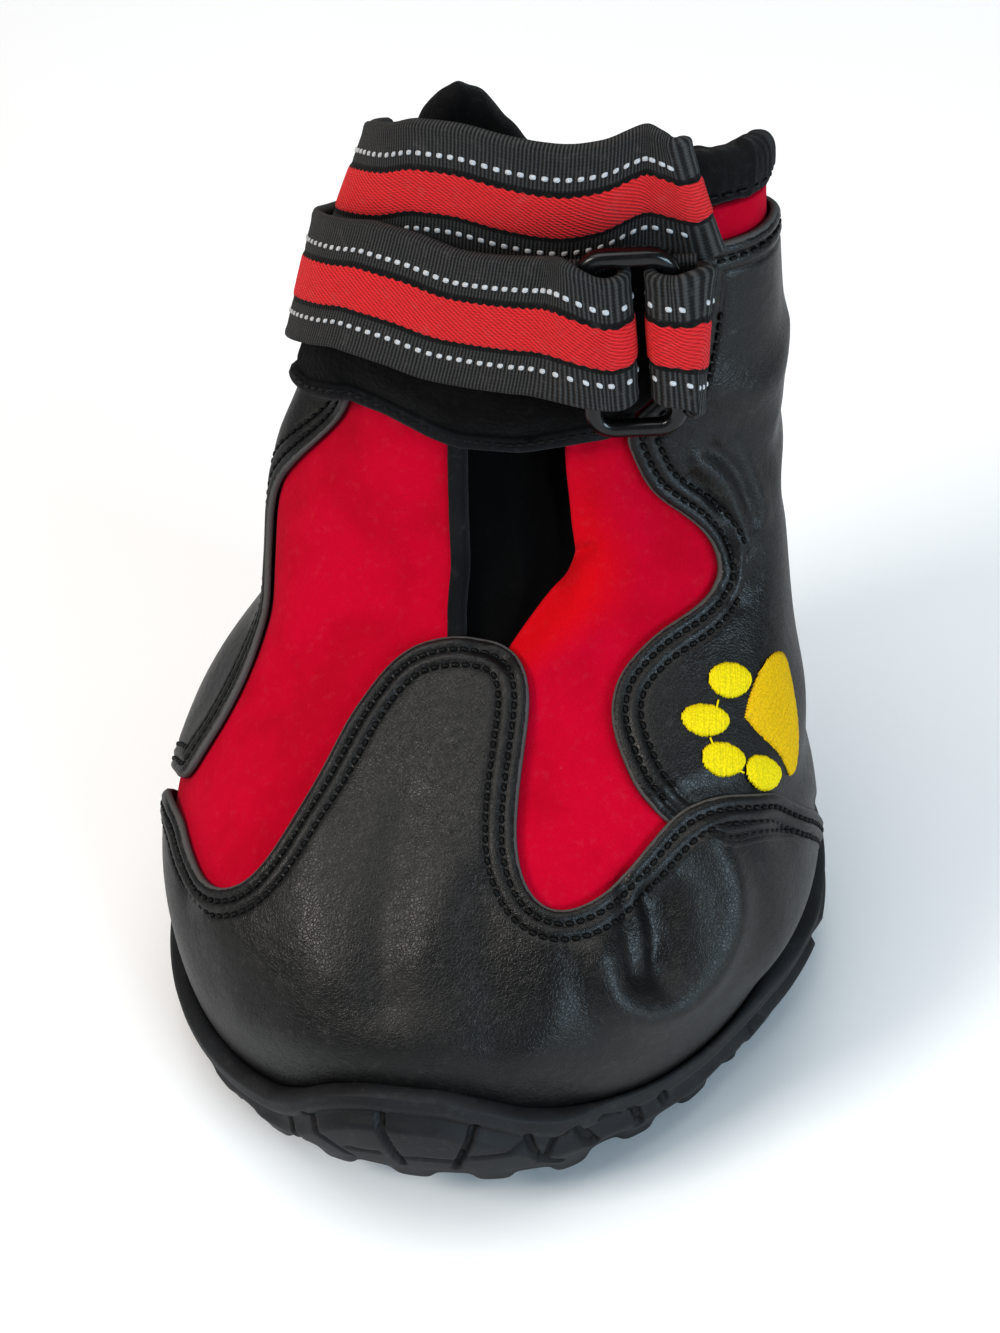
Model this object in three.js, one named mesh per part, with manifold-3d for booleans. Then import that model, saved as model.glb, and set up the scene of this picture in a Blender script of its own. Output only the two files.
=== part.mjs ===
// A dog boot: rubber cup sole, hollow softshell upper with leather overlays, and a slack shaft with two straps.
// Millimetres, +Z up. The toe points along -Y, and the boot's outer side, with the ring, lies on +X.

import * as THREE from 'three';
import { mergeVertices } from 'three/addons/utils/BufferGeometryUtils.js';
import Module from 'manifold-3d';

const wasm = await Module();
wasm.setup();

// Driving dimensions

const fit = 0.35;              // gap between pieces that lie against each other
const overlayFit = 0.45;       // the same under the leather, where two curved facets face each other
const upperWall = 1.8;         // softshell with its lining
const leather = 1.0;
const soleWall = 1.9;          // side wall of the cup sole
const soleBase = 2.5;          // rubber between the tread and the foot
const treadDepth = 3;
const treadBulge = 1.4;        // how far the tread blocks stand out of the side wall
const insoleThickness = 2.6;
const toeLift = 5.8;           // toe spring at the front end of the tread
const toeLiftStart = 14;       // where it starts, in front of the origin
const toeLiftRun = 30;
const footHeight = treadDepth + soleBase;
const collarHeight = 104;
const bindingHeight = 5.5;
const gussetWall = 0.9;
const flapThickness = 1.2;
const strapWidth = 18.6;
const strapThickness = 1.3;
const ringBar = 2;
const ringWidth = 11.4;
const ringHeight = 24.2;
const foldSlack = 1.4;         // how far a strap's fold stands off the ring's bar
const looseSlack = 2.1;        // the same where the lower strap comes in
const originShift = [-0.28, 0.84];  // moves the middle of the whole boot's footprint onto the origin, X and Y

// The last, level by level. front and back: its toe and heel ends; widest: where it is widest, along Y;
// half: half its width; lean: how far the level leans to +X; square: 2 is an ellipse, more is squarer.

const lastLevels = [
  { height: 5, front: -39, back: 36.8, widest: 0, half: 34.4, lean: -0.7, square: 2.08 },
  { height: 10, front: -40.9, back: 38.8, widest: -0.5, half: 36.3, lean: -0.5, square: 2.08 },
  { height: 15, front: -41.3, back: 39.8, widest: -1, half: 37.5, lean: -0.2, square: 2.08 },
  { height: 20, front: -40.9, back: 40.4, widest: -1, half: 38.4, lean: 0.3, square: 2.08 },
  { height: 26, front: -39.2, back: 40.9, widest: 0, half: 38.9, lean: 0.8, square: 2.1 },
  { height: 32, front: -34.6, back: 41, widest: 2, half: 38.4, lean: 1.4, square: 2.1 },
  { height: 38, front: -26.5, back: 40.8, widest: 5, half: 36, lean: 2.3, square: 2.1 },
  { height: 44, front: -16, back: 40.6, widest: 10, half: 32.7, lean: 3.7, square: 2.1 },
  { height: 50, front: -4, back: 40.5, widest: 15.5, half: 31.2, lean: 3.8, square: 2.12 },
  { height: 55, front: 3, back: 40.7, widest: 19, half: 30.8, lean: 3.4, square: 2.15 },
  { height: 62, front: 8.5, back: 41.1, widest: 22.5, half: 30.2, lean: 3.5, square: 2.2 },
  { height: 72, front: 12.3, back: 41.2, widest: 25.5, half: 28.2, lean: 5.3, square: 2.25 },
  { height: 85, front: 14.8, back: 39.8, widest: 27, half: 25.3, lean: 7.8, square: 2.3 },
  { height: 100, front: 17.8, back: 37.2, widest: 27.8, half: 21.2, lean: 11.7, square: 2.3 },
  { height: 114, front: 20.8, back: 35.8, widest: 28.6, half: 20, lean: 13.6, square: 2.3 },
];

// Top edge of the sole's side wall, round the boot. turn: degrees from the toe toward +X.

const soleRim = [
  { turn: -180, height: 15 },
  { turn: -120, height: 12 },
  { turn: -60, height: 11.5 },
  { turn: -34, height: 12.5 },
  { turn: -14, height: 15.5 },
  { turn: 0, height: 17 },
  { turn: 14, height: 15.5 },
  { turn: 34, height: 12.5 },
  { turn: 60, height: 11.5 },
  { turn: 120, height: 12 },
  { turn: 180, height: 15 },
];

// Top edge of the toe cap, from the inner side over the tall centre lobe to the outer side.

const capEdge = [
  { turn: -98, height: 13 },
  { turn: -86, height: 24 },
  { turn: -72, height: 31.5 },
  { turn: -60, height: 33.2 },
  { turn: -49, height: 31.8 },
  { turn: -38, height: 33.3 },
  { turn: -31.5, height: 36.2 },
  { turn: -29.5, height: 40 },
  { turn: -28, height: 44 },
  { turn: -24, height: 48 },
  { turn: -16, height: 51 },
  { turn: -6, height: 52.6 },
  { turn: 4, height: 52.6 },
  { turn: 9.5, height: 51 },
  { turn: 12, height: 48.3 },
  { turn: 13.2, height: 44 },
  { turn: 14.2, height: 40.5 },
  { turn: 17, height: 37.7 },
  { turn: 23, height: 36.4 },
  { turn: 34, height: 38.2 },
  { turn: 45, height: 40.5 },
  { turn: 56, height: 40.2 },
  { turn: 68, height: 38.4 },
  { turn: 81, height: 33.7 },
  { turn: 96, height: 24 },
  { turn: 112, height: 13 },
];

// Front edges of the heel panel. outer: the side that bulges forward; inner: the opposite side.

const panelEdge = [
  { height: 5, outer: 120, inner: -107 },
  { height: 13, outer: 114, inner: -100 },
  { height: 24, outer: 98.5, inner: -88.5 },
  { height: 32, outer: 86, inner: -75 },
  { height: 35, outer: 81, inner: -65.5 },
  { height: 38.4, outer: 71, inner: -64.5 },
  { height: 41.3, outer: 46.5, inner: -66 },
  { height: 44, outer: 37.5, inner: -69 },
  { height: 47.5, outer: 30, inner: -75 },
  { height: 50.5, outer: 31, inner: -79 },
  { height: 53, outer: 37, inner: -79 },
  { height: 56.5, outer: 57, inner: -77 },
  { height: 60, outer: 50, inner: -73 },
  { height: 64, outer: 37, inner: -64 },
  { height: 68, outer: 28.5, inner: -56 },
  { height: 72, outer: 25, inner: -49.5 },
  { height: 74.5, outer: 24, inner: -48 },
  { height: 77, outer: 29, inner: -52 },
  { height: 82, outer: 38, inner: -60 },
  { height: 97, outer: 42, inner: -66 },
];
const panelTop = 95;

// The collar's slack edge: how far it rises above collarHeight, round the boot.

const collarWave = [
  { turn: -180, rise: -7 },
  { turn: -166, rise: -6.6 },
  { turn: -155, rise: -3.2 },
  { turn: -144, rise: 1.2 },
  { turn: -133, rise: 2.6 },
  { turn: -121, rise: 1.2 },
  { turn: -107, rise: -2 },
  { turn: -93, rise: -3.6 },
  { turn: -76, rise: -2.8 },
  { turn: -58, rise: 0 },
  { turn: -35, rise: 3 },
  { turn: 10, rise: 3 },
  { turn: 50, rise: 1.5 },
  { turn: 70, rise: 2 },
  { turn: 95, rise: 1.2 },
  { turn: 120, rise: -1.5 },
  { turn: 150, rise: -6 },
  { turn: 167, rise: -7.4 },
  { turn: 180, rise: -7 },
];

// Outline of the throat, seen from the front.

const throatOutline = [
  { x: 0.6, height: 53.2 },
  { x: 5.6, height: 53.2 },
  { x: 12.9, height: 60.5 },
  { x: 12.6, height: 70 },
  { x: 16.5, height: 112 },
  { x: 5.5, height: 112 },
  { x: 0.6, height: 70 },
];

// Interpolation along a table's rows, with no overshoot between them

function valueAt(rows, key, column, at) {
  const last = rows.length - 2;
  const found = rows.findIndex((row) => row[key] > at) - 1;
  const i = found < 0 ? (at < rows[0][key] ? 0 : last) : found;
  const secant = (k) => (rows[k + 1][column] - rows[k][column]) / (rows[k + 1][key] - rows[k][key]);
  const slope = (k) => {
    if (k === 0) return secant(0);
    if (k > last) return secant(last);
    const before = secant(k - 1);
    const after = secant(k);
    return before * after > 0 ? 2 * before * after / (before + after) : 0;
  };
  const span = rows[i + 1][key] - rows[i][key];
  const t = (at - rows[i][key]) / span;
  return rows[i][column] * (1 + 2 * t) * (1 - t) ** 2 + slope(i) * span * t * (1 - t) ** 2
    + rows[i + 1][column] * t * t * (3 - 2 * t) + slope(i + 1) * span * t * t * (t - 1);
}

const radians = THREE.MathUtils.degToRad;
const smooth = THREE.MathUtils.smoothstep;

function signedPower(value, power) {
  return Math.sign(value) * Math.abs(value) ** power;
}

function toeSpring(y) {
  return toeLift * Math.max(0, (-y - toeLiftStart) / toeLiftRun) ** 2;
}

// The point of the last at a turn round the boot, in degrees, and a level

function onLast(turn, height) {
  const level = Object.fromEntries(
    Object.keys(lastLevels[0]).map((column) => [column, valueAt(lastLevels, 'height', column, height)]));
  const forward = Math.cos(radians(turn));
  const sideways = Math.sin(radians(turn));
  const reach = forward > 0 ? level.widest - level.front : level.back - level.widest;
  const x = level.lean + level.half * signedPower(sideways, 2 / level.square);
  const y = level.widest - reach * signedPower(forward, 2 / level.square);
  const z = height + toeSpring(y) * (1 - smooth(height, 12, 34));
  return new THREE.Vector3(x, y, z);
}

// The same point moved outward, square to the surface, with the directions there

function frameOnLast(turn, height) {
  const point = onLast(turn, height);
  const along = onLast(turn + 0.1, height).sub(onLast(turn - 0.1, height)).normalize();
  const rise = onLast(turn, height + 0.1).sub(onLast(turn, height - 0.1));
  const out = along.clone().cross(rise).normalize();
  const up = out.clone().cross(along);
  return { point, along, up, out };
}

function offLast(turn, height, distance) {
  const { point, out } = frameOnLast(turn, height);
  return point.addScaledVector(out, distance);
}

// Closed meshes from rows of points

function range(count, from, to) {
  return Array.from({ length: count }, (unused, i) => from + (to - from) * i / (count - 1));
}

function closedMesh(points, triangles) {
  const geometry = new THREE.BufferGeometry();
  geometry.setAttribute('position', new THREE.Float32BufferAttribute(points.flatMap((p) => [p.x, p.y, p.z]), 3));
  geometry.setIndex(triangles);
  return mergeVertices(geometry, 1e-4);
}

// Quads between row a and row b of a grid that is stored row by row

function stitch(triangles, a, b, count, closed) {
  for (let j = 0; j < (closed ? count : count - 1); j += 1) {
    const next = (j + 1) % count;
    triangles.push(a + j, a + next, b + j, a + next, b + next, b + j);
  }
}

// A solid wall whose section, the rows in turn, closes on itself: each row goes once round the boot

function tubeSolid(rows) {
  const count = rows[0].length;
  const triangles = [];
  rows.forEach((row, i) => stitch(triangles, i * count, ((i + 1) % rows.length) * count, count, true));
  return closedMesh(rows.flat(), triangles);
}

// A solid whose rows go once round the boot, from a middle point below to a middle point above

function bodySolid(rows, below, above) {
  const count = rows[0].length;
  const triangles = [];
  rows.slice(1).forEach((row, i) => stitch(triangles, i * count, (i + 1) * count, count, true));
  const top = (rows.length - 1) * count;
  const pole = rows.length * count;
  for (let j = 0; j < count; j += 1) {
    const next = (j + 1) % count;
    triangles.push(pole, next, j, pole + 1, top + j, top + next);
  }
  return closedMesh([...rows.flat(), below, above], triangles);
}

// A sheet of even build from its outer and inner grids, whose rows run up the boot

function sheetSolid(outer, inner) {
  const count = outer[0].length;
  const size = outer.length * count;
  const triangles = [];
  const flip = (from) => {
    for (let k = from; k < triangles.length; k += 3) {
      [triangles[k], triangles[k + 1]] = [triangles[k + 1], triangles[k]];
    }
  };
  outer.slice(1).forEach((row, i) => stitch(triangles, i * count, (i + 1) * count, count, false));
  const back = triangles.length;
  outer.slice(1).forEach((row, i) => stitch(triangles, size + i * count, size + (i + 1) * count, count, false));
  flip(back);
  stitch(triangles, size, 0, count, false);
  stitch(triangles, size - count, 2 * size - count, count, false);
  for (let i = 0; i < outer.length - 1; i += 1) {
    const a = i * count;
    const b = a + count;
    triangles.push(a, b, size + a, b, size + b, size + a);
    const c = a + count - 1;
    const d = c + count;
    triangles.push(c, size + c, d, d, size + c, size + d);
  }
  return closedMesh([...outer.flat(), ...inner.flat()], triangles);
}

// Cutting and joining

function solidOf(geometry) {
  const bare = geometry.clone();
  bare.deleteAttribute('normal');
  bare.deleteAttribute('uv');
  const merged = mergeVertices(bare, 1e-4);
  return new wasm.Manifold(new wasm.Mesh({
    numProp: 3,
    vertProperties: Float32Array.from(merged.attributes.position.array),
    triVerts: Uint32Array.from(merged.index.array),
  }));
}

function geometryOf(solid) {
  const mesh = solid.getMesh();
  const geometry = new THREE.BufferGeometry();
  geometry.setAttribute('position', new THREE.Float32BufferAttribute(mesh.vertProperties, 3));
  geometry.setIndex(Array.from(mesh.triVerts));
  return geometry;
}

// An upright prism over a plan outline, or one that runs along Y behind a front outline

function uprightPrism(corners, bottom, top) {
  const shape = new THREE.Shape(corners.map(([x, y]) => new THREE.Vector2(x, y)));
  return new THREE.ExtrudeGeometry(shape, { depth: top - bottom, bevelEnabled: false }).translate(0, 0, bottom);
}

function throatPrism() {
  const shape = new THREE.Shape(throatOutline.map((p) => new THREE.Vector2(p.x, p.height)));
  const frontEnd = -15;
  const backEnd = 27;
  return new THREE.ExtrudeGeometry(shape, { depth: backEnd - frontEnd, bevelEnabled: false })
    .rotateX(Math.PI / 2)
    .translate(0, backEnd, 0);
}

// Outsole: a core that hugs the last, with tread blocks cut from a larger form, hollowed into a cup

const roundTurns = range(49, -180, 180).slice(0, -1);
const wallInside = 2 * overlayFit + leather;
const wallOutside = wallInside + soleWall;

function rimHeight(turn) {
  return valueAt(soleRim, 'turn', 'height', turn);
}

function footRing(turn, share, lift) {
  const edge = onLast(turn, footHeight);
  const x = edge.x * share;
  const y = edge.y * share;
  return new THREE.Vector3(x, y, lift + toeSpring(y));
}

function soleForm(bottom, bulge, topOf) {
  const shoulder = 3.4;
  const rows = [
    roundTurns.map((turn) => footRing(turn, 0.55, bottom)),
    roundTurns.map((turn) => footRing(turn, 1 + (bulge + 1.2) / 36, bottom)),
    roundTurns.map((turn) => offLast(turn, footHeight + bottom - treadDepth + 1.6, wallOutside + bulge)),
    roundTurns.map((turn) => offLast(turn, topOf(turn) - shoulder, wallOutside + bulge)),
    roundTurns.map((turn) => offLast(turn, topOf(turn), wallOutside - 0.3)),
  ];
  return bodySolid(rows, new THREE.Vector3(0, 0, bottom), new THREE.Vector3(0, 0, footHeight + 1));
}

function cupHollow() {
  const rows = [
    roundTurns.map((turn) => footRing(turn, 0.55, footHeight)),
    roundTurns.map((turn) => {
      const point = offLast(turn, footHeight, wallInside);
      return point.setZ(footHeight + toeSpring(onLast(turn, footHeight).y));
    }),
    ...[0.33, 0.66, 1, 1.5].map((share) => roundTurns.map((turn) => (
      offLast(turn, footHeight + (rimHeight(turn) - footHeight) * share, wallInside)))),
  ];
  return bodySolid(rows, new THREE.Vector3(0, 0, footHeight), new THREE.Vector3(0, 0, 30));
}

// Blocks round the edge, then two rows of chevrons under the forefoot and bars under the heel

function treadBlocks() {
  const groove = 1.1;
  const edgeBlocks = 18;
  const blocks = range(edgeBlocks + 1, -180, 180).slice(0, -1).map((middle) => {
    const half = 180 / edgeBlocks;
    const corner = (turn, share, side) => {
      const p = onLast(turn, 12);
      const square = new THREE.Vector2(-p.y, p.x).normalize().multiplyScalar(side * groove);
      return [p.x * share + square.x, p.y * share + square.y];
    };
    const inner = 0.66;
    const outer = 1.3;
    return uprightPrism([
      corner(middle - half, inner, 1), corner(middle - half, outer, 1),
      corner(middle + half, outer, -1), corner(middle + half, inner, -1)], -1, 40);
  });
  for (const row of [-14, -2, 10]) {
    for (const side of [-1, 1]) {
      const chevron = [[1.2, row], [1.2, row + 8], [17, row + 4], [17, row - 4]];
      const corners = chevron.map(([x, y]) => [x * side, y]);
      blocks.push(uprightPrism(side > 0 ? corners : corners.reverse(), -1, footHeight - 1));
    }
  }
  blocks.push(uprightPrism([[-14, 21.5], [14, 21.5], [11, 25.5], [-11, 25.5]], -1, footHeight - 1));
  return blocks.map(solidOf);
}

function makeOutsole() {
  const core = solidOf(soleForm(treadDepth, 0, rimHeight));
  const blockTop = (turn) => rimHeight(turn) - 2.4;
  const treadForm = solidOf(soleForm(0, treadBulge, blockTop));
  const tread = treadBlocks().reduce((whole, block) => whole.add(block.intersect(treadForm)), core);
  return geometryOf(tread.subtract(solidOf(cupHollow())));
}

// Insole: a flat board that follows the floor of the cup

function makeInsole() {
  const edge = 0.93;
  const bottom = footHeight + fit;
  const ring = (share, lift) => roundTurns.filter((turn, i) => i % 2 === 0)
    .map((turn) => footRing(turn, share, lift));
  const rows = [ring(0.55, bottom), ring(edge, bottom), ring(edge, bottom + insoleThickness),
    ring(0.55, bottom + insoleThickness)];
  return bodySolid(rows, new THREE.Vector3(0, 0, bottom), new THREE.Vector3(0, 0, bottom + insoleThickness));
}

// Upper: one wall from the floor of the cup to the binding, with the throat cut out of its front

const upperTurns = range(39, -180, 180).slice(0, -1);
const bindingBottom = collarHeight - bindingHeight;
const bindingFit = 0.62;
const upperHeights = [
  ...range(5, footHeight + fit, 25), ...range(8, 29, 54), ...range(7, 60, bindingBottom - bindingFit)];

function slanted(turn, height) {
  return height + valueAt(collarWave, 'turn', 'rise', turn) * smooth(height, 82, collarHeight);
}

function ringWall(heights, outside, inside) {
  const row = (distance) => (height) => upperTurns.map((turn) => offLast(turn, slanted(turn, height), distance));
  return solidOf(tubeSolid([...heights.map(row(outside)), ...heights.toReversed().map(row(inside))]));
}

function makeUpper() {
  return geometryOf(ringWall(upperHeights, 0, -upperWall).subtract(solidOf(throatPrism())));
}

function makeCollarBinding() {
  const thicker = 0.5;
  const ring = ringWall(range(3, bindingBottom, collarHeight), thicker, -upperWall - thicker);
  return geometryOf(ring.subtract(solidOf(throatPrism())));
}

// Sheets that lie on the upper: for each row, the levels and the turns that it covers

function overlay(rows, distance, thickness) {
  const grid = (lift) => rows.map((row) => row.map(({ turn, height }) => offLast(turn, height, lift)));
  return sheetSolid(grid(distance + thickness), grid(distance));
}

// Leather pieces: cut from a band between two larger forms of the upper. A cutter reaches through the band.

const leatherHeights = [
  footHeight + 3, ...upperHeights.filter((height) => height > footHeight + 6 && height < panelTop - 3), panelTop];
const cutterInside = -1;
const cutterThickness = 4;

function leatherBand() {
  return ringWall(leatherHeights, overlayFit + leather, overlayFit);
}

function makeToeCap() {
  const turns = capEdge.slice(1).flatMap((point, i) => {
    const from = capEdge[i].turn;
    const steps = Math.ceil((point.turn - from) / 8);
    return range(steps + 1, from, point.turn).slice(0, -1);
  }).concat(capEdge.at(-1).turn);
  const rows = range(5, 0, 1).map((share) => turns.map((turn) => {
    const top = valueAt(capEdge, 'turn', 'height', turn);
    return { turn, height: footHeight - 2 + (top - footHeight + 2) * share };
  }));
  return geometryOf(leatherBand().intersect(solidOf(overlay(rows, cutterInside, cutterThickness))));
}

function makeHeelPanel() {
  const rows = panelEdge.map(({ height, outer, inner }) => (
    range(15, inner, outer).map((turn) => ({ turn, height }))));
  return geometryOf(leatherBand().subtract(solidOf(overlay(rows, cutterInside, cutterThickness))));
}

// Gusset: a sheet behind the throat, held to the upper's inside at both edges and folded inward between them

function makeGusset() {
  const foldDepth = 4.5;
  const rows = range(9, 48, bindingBottom - 4);
  const surface = (distance) => rows.map((height) => {
    const middle = height > 60 ? 11 : 3 + 8 * (height - 48) / 12;
    const half = height > 60 ? 22 : 16;
    const depth = foldDepth * smooth(height, 50, 64);
    return range(9, middle - half, middle + half).map((turn) => {
      const inward = depth * (1 - Math.abs(turn - middle) / half);
      return offLast(turn, height, -upperWall - overlayFit - inward - distance);
    });
  });
  return sheetSolid(surface(0), surface(gussetWall));
}

// Front flap: a pad over the top of the throat, with a rounded lower edge

const flapFrom = -44;
const flapTo = 34;
const flapLift = fit;

function makeFrontFlap() {
  const lowerEdge = [
    { turn: -44, height: 76 },
    { turn: -29, height: 75.5 },
    { turn: -14, height: 73 },
    { turn: -2, height: 71.6 },
    { turn: 9, height: 72 },
    { turn: 17, height: 75.5 },
    { turn: 34, height: 87 },
  ];
  const topHeight = 90;
  const rows = range(5, 0, 1).map((share) => range(13, flapFrom, flapTo).map((turn) => {
    const low = valueAt(lowerEdge, 'turn', 'height', turn);
    return { turn, height: low + (topHeight - low) * share };
  }));
  return overlay(rows, flapLift, flapThickness);
}

// Ring: a plastic rectangle that lies on the outer side of the shaft

const ringTurn = 24.6;
const ringLevel = 90.3;
const ringTilt = 7;            // its top leans away from the shaft
const ringSlack = 2.8;
const ringLift = flapLift + flapThickness + ringSlack + strapThickness + 2 * fit + ringBar / 2;

function makeRingFrame() {
  const { point, along, up, out } = frameOnLast(ringTurn, ringLevel);
  const lean = new THREE.Quaternion().setFromAxisAngle(along, radians(ringTilt));
  return { point, along, up: up.applyQuaternion(lean), out: out.applyQuaternion(lean) };
}

const ringFrame = makeRingFrame();

function onRing(along, up, lift) {
  return ringFrame.point.clone()
    .addScaledVector(ringFrame.along, along)
    .addScaledVector(ringFrame.up, up)
    .addScaledVector(ringFrame.out, lift);
}

function makeRing() {
  const corner = 2.2;
  const halfWidth = (ringWidth - ringBar) / 2;
  const halfHeight = (ringHeight - ringBar) / 2;
  const corners = [[1, 1], [-1, 1], [-1, -1], [1, -1]];
  const middles = corners.flatMap(([sideX, sideY], i) => range(4, i * 90, (i + 1) * 90).map((angle) => {
    const across = Math.cos(radians(angle));
    const up = Math.sin(radians(angle));
    return {
      middle: [sideX * (halfWidth - corner) + corner * across, sideY * (halfHeight - corner) + corner * up],
      across,
      up,
    };
  }));
  const rows = range(9, 0, 360).slice(0, -1).map((angle) => middles.map(({ middle, across, up }) => {
    const sideways = ringBar / 2 * Math.cos(radians(angle));
    const lift = ringBar / 2 * Math.sin(radians(angle));
    return onRing(middle[0] + across * sideways, middle[1] + up * sideways, ringLift + lift);
  }));
  return tubeSolid(rows);
}

// Straps: rows of a lower and an upper point on the inside face, and the direction that the outside faces

function bandSolid(rows) {
  const inside = rows.map(({ low, high }) => [low, high]);
  const outside = rows.map(({ low, high, out }) => (
    [low, high].map((point) => point.clone().addScaledVector(out, strapThickness))));
  return sheetSolid(inside, outside);
}

// Rows of a strap's run over the shaft. height: its middle; low and high: how far its edges stand off.

function edgesOverShaft(table, turn) {
  const [height, low, high] = ['height', 'low', 'high'].map((column) => valueAt(table, 'turn', column, turn));
  const lowEdge = offLast(turn, height - strapWidth / 2, low);
  const highEdge = offLast(turn, height + strapWidth / 2, high);
  const middle = lowEdge.clone().lerp(highEdge, 0.5);
  const across = highEdge.sub(lowEdge).setLength(strapWidth / 2);
  return { low: middle.clone().sub(across), high: middle.clone().add(across) };
}

function runOverShaft(table, from, to, steps) {
  const middle = ({ low, high }) => low.clone().add(high);
  return range(steps, from, to).map((turn) => {
    const edges = edgesOverShaft(table, turn);
    const along = middle(edgesOverShaft(table, turn + 1)).sub(middle(edgesOverShaft(table, turn - 1)));
    const out = along.cross(edges.high.clone().sub(edges.low)).normalize();
    return { ...edges, out };
  });
}

// A strap's end turned under: rows that bend back beneath the given one, which the strap reaches going along

function turnedUnder({ low, high, out }, along, radius, tail) {
  const bent = (angle, back) => {
    const facing = along.clone().multiplyScalar(Math.sin(radians(angle)))
      .addScaledVector(out, Math.cos(radians(angle)));
    const place = (edge) => edge.clone().addScaledVector(out, -radius)
      .addScaledVector(facing, radius).addScaledVector(along, -back);
    return { low: place(low), high: place(high), out: facing };
  };
  return [...range(6, 0, 180).map((angle) => bent(angle, 0)), bent(180, tail)];
}

// The same round one of the ring's upright bars: side is +1 where the strap comes from the inner side

function roundTheBar(side, slack, tail) {
  const gathered = 0.9;
  const above = 1.3;             // the straps ride high on the bars
  const radius = ringBar / 2 + fit;
  const half = strapWidth / 2 - gathered;
  const over = side * (slack - (ringWidth - ringBar) / 2);
  const lift = ringLift + radius;
  const rowAt = (along) => {
    const [low, high] = [above - half, above + half].map((up) => onRing(along, up, lift));
    return { low, high, out: ringFrame.out };
  };
  return [rowAt(-side * (ringWidth / 2 - 0.2)),
    ...turnedUnder(rowAt(over), ringFrame.along.clone().multiplyScalar(side), radius, tail)];
}

const lowerRun = [
  { turn: -168, height: 78, low: 2.4, high: 2.4 },
  { turn: -125, height: 78.5, low: 2.4, high: 3 },
  { turn: -106, height: 79.6, low: 2.7, high: 4.6 },
  { turn: -90, height: 82.6, low: 2.5, high: 4.9 },
  { turn: -77, height: 85.3, low: 2.5, high: 5 },
  { turn: -62, height: 88, low: 2.5, high: 5 },
  { turn: -48, height: 90, low: 2.5, high: 5.1 },
  { turn: -33, height: 90.5, low: 2.5, high: 5.4 },
  { turn: -18, height: 90.1, low: 2.7, high: 6.3 },
  { turn: -6, height: 90.6, low: 4, high: 7.6 },
  { turn: 3, height: 91.4, low: 5.8, high: 9 },
];

function makeLowerStrap() {
  return bandSolid([...runOverShaft(lowerRun, -168, 3, 22), ...roundTheBar(1, looseSlack, 4)]);
}

const anchorRun = [
  { turn: 39, height: 91.8, low: 8.3, high: 10.4 },
  { turn: 41.5, height: 91.8, low: 6.4, high: 8.2 },
  { turn: 44, height: 91.4, low: 3.4, high: 4.4 },
  { turn: 47, height: 91, low: 1.9, high: 1.9 },
];

function makeLowerAnchor() {
  return bandSolid([...runOverShaft(anchorRun, 47, 39, 5), ...roundTheBar(-1, foldSlack, 3)].toReversed());
}

const upperRun = [
  { turn: -106, height: 93.4, low: 2, high: 2 },
  { turn: -85, height: 96.2, low: 1.9, high: 2.2 },
  { turn: -68, height: 99, low: 1.6, high: 3.2 },
  { turn: -50, height: 101.6, low: 1.2, high: 5.2 },
  { turn: -36, height: 103.8, low: 1.1, high: 6.8 },
  { turn: -23, height: 104.3, low: 1.1, high: 7.4 },
  { turn: -8, height: 103.6, low: 1.1, high: 7.8 },
  { turn: 2, height: 103.2, low: 1.1, high: 8 },
  { turn: 11, height: 104, low: 1.1, high: 8.6 },
  { turn: 22, height: 106.4, low: 1.2, high: 9.6 },
  { turn: 29, height: 107.8, low: 2, high: 10.8 },
  { turn: 34, height: 107.9, low: 2.9, high: 11.3 },
  { turn: 38, height: 107.6, low: 3.8, high: 11.2 },
];

function makeUpperStrap() {
  const hemRadius = 0.6;
  const hemLength = 2.5;
  const rows = runOverShaft(upperRun, -106, 38, 22);
  const along = rows.at(-1).low.clone().sub(rows.at(-2).low).normalize();
  return bandSolid([...rows, ...turnedUnder(rows.at(-1), along, hemRadius, hemLength).slice(1)]);
}

const material = {
  rubber: new THREE.MeshStandardMaterial({ color: 0x34373a, roughness: 0.75 }),
  leather: new THREE.MeshStandardMaterial({ color: 0x2c2b2a, roughness: 0.5 }),
  softshell: new THREE.MeshStandardMaterial({ color: 0xc8102e, roughness: 0.9 }),
  fabric: new THREE.MeshStandardMaterial({ color: 0x161616, roughness: 0.95 }),
  webbing: new THREE.MeshStandardMaterial({ color: 0x2a2a2a, roughness: 0.85 }),
  plastic: new THREE.MeshStandardMaterial({ color: 0x121212, roughness: 0.3 }),
  foam: new THREE.MeshStandardMaterial({ color: 0x222222, roughness: 0.95 }),
};

const boot = new THREE.Group();

function addPiece(name, geometry, finish) {
  const mesh = new THREE.Mesh(geometry, finish);
  mesh.name = name;
  boot.add(mesh);
}

addPiece('outsole', makeOutsole(), material.rubber);
addPiece('insole', makeInsole(), material.foam);
addPiece('upper', makeUpper(), material.softshell);
addPiece('toe_cap', makeToeCap(), material.leather);
addPiece('heel_panel', makeHeelPanel(), material.leather);
addPiece('gusset', makeGusset(), material.fabric);
addPiece('front_flap', makeFrontFlap(), material.fabric);
addPiece('collar_binding', makeCollarBinding(), material.fabric);
addPiece('ring', makeRing(), material.plastic);
addPiece('lower_strap', makeLowerStrap(), material.webbing);
addPiece('lower_anchor', makeLowerAnchor(), material.webbing);
addPiece('upper_strap', makeUpperStrap(), material.webbing);

boot.position.set(originShift[0], originShift[1], 0);

export default boot;
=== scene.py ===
# A dog boot: rubber cup sole, leather toe cap and side panels over red softshell, two webbing straps.
# Pieces are worked out in millimetres in the boot's own frame, and makePiece puts them in the model's frame.

import math

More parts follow.
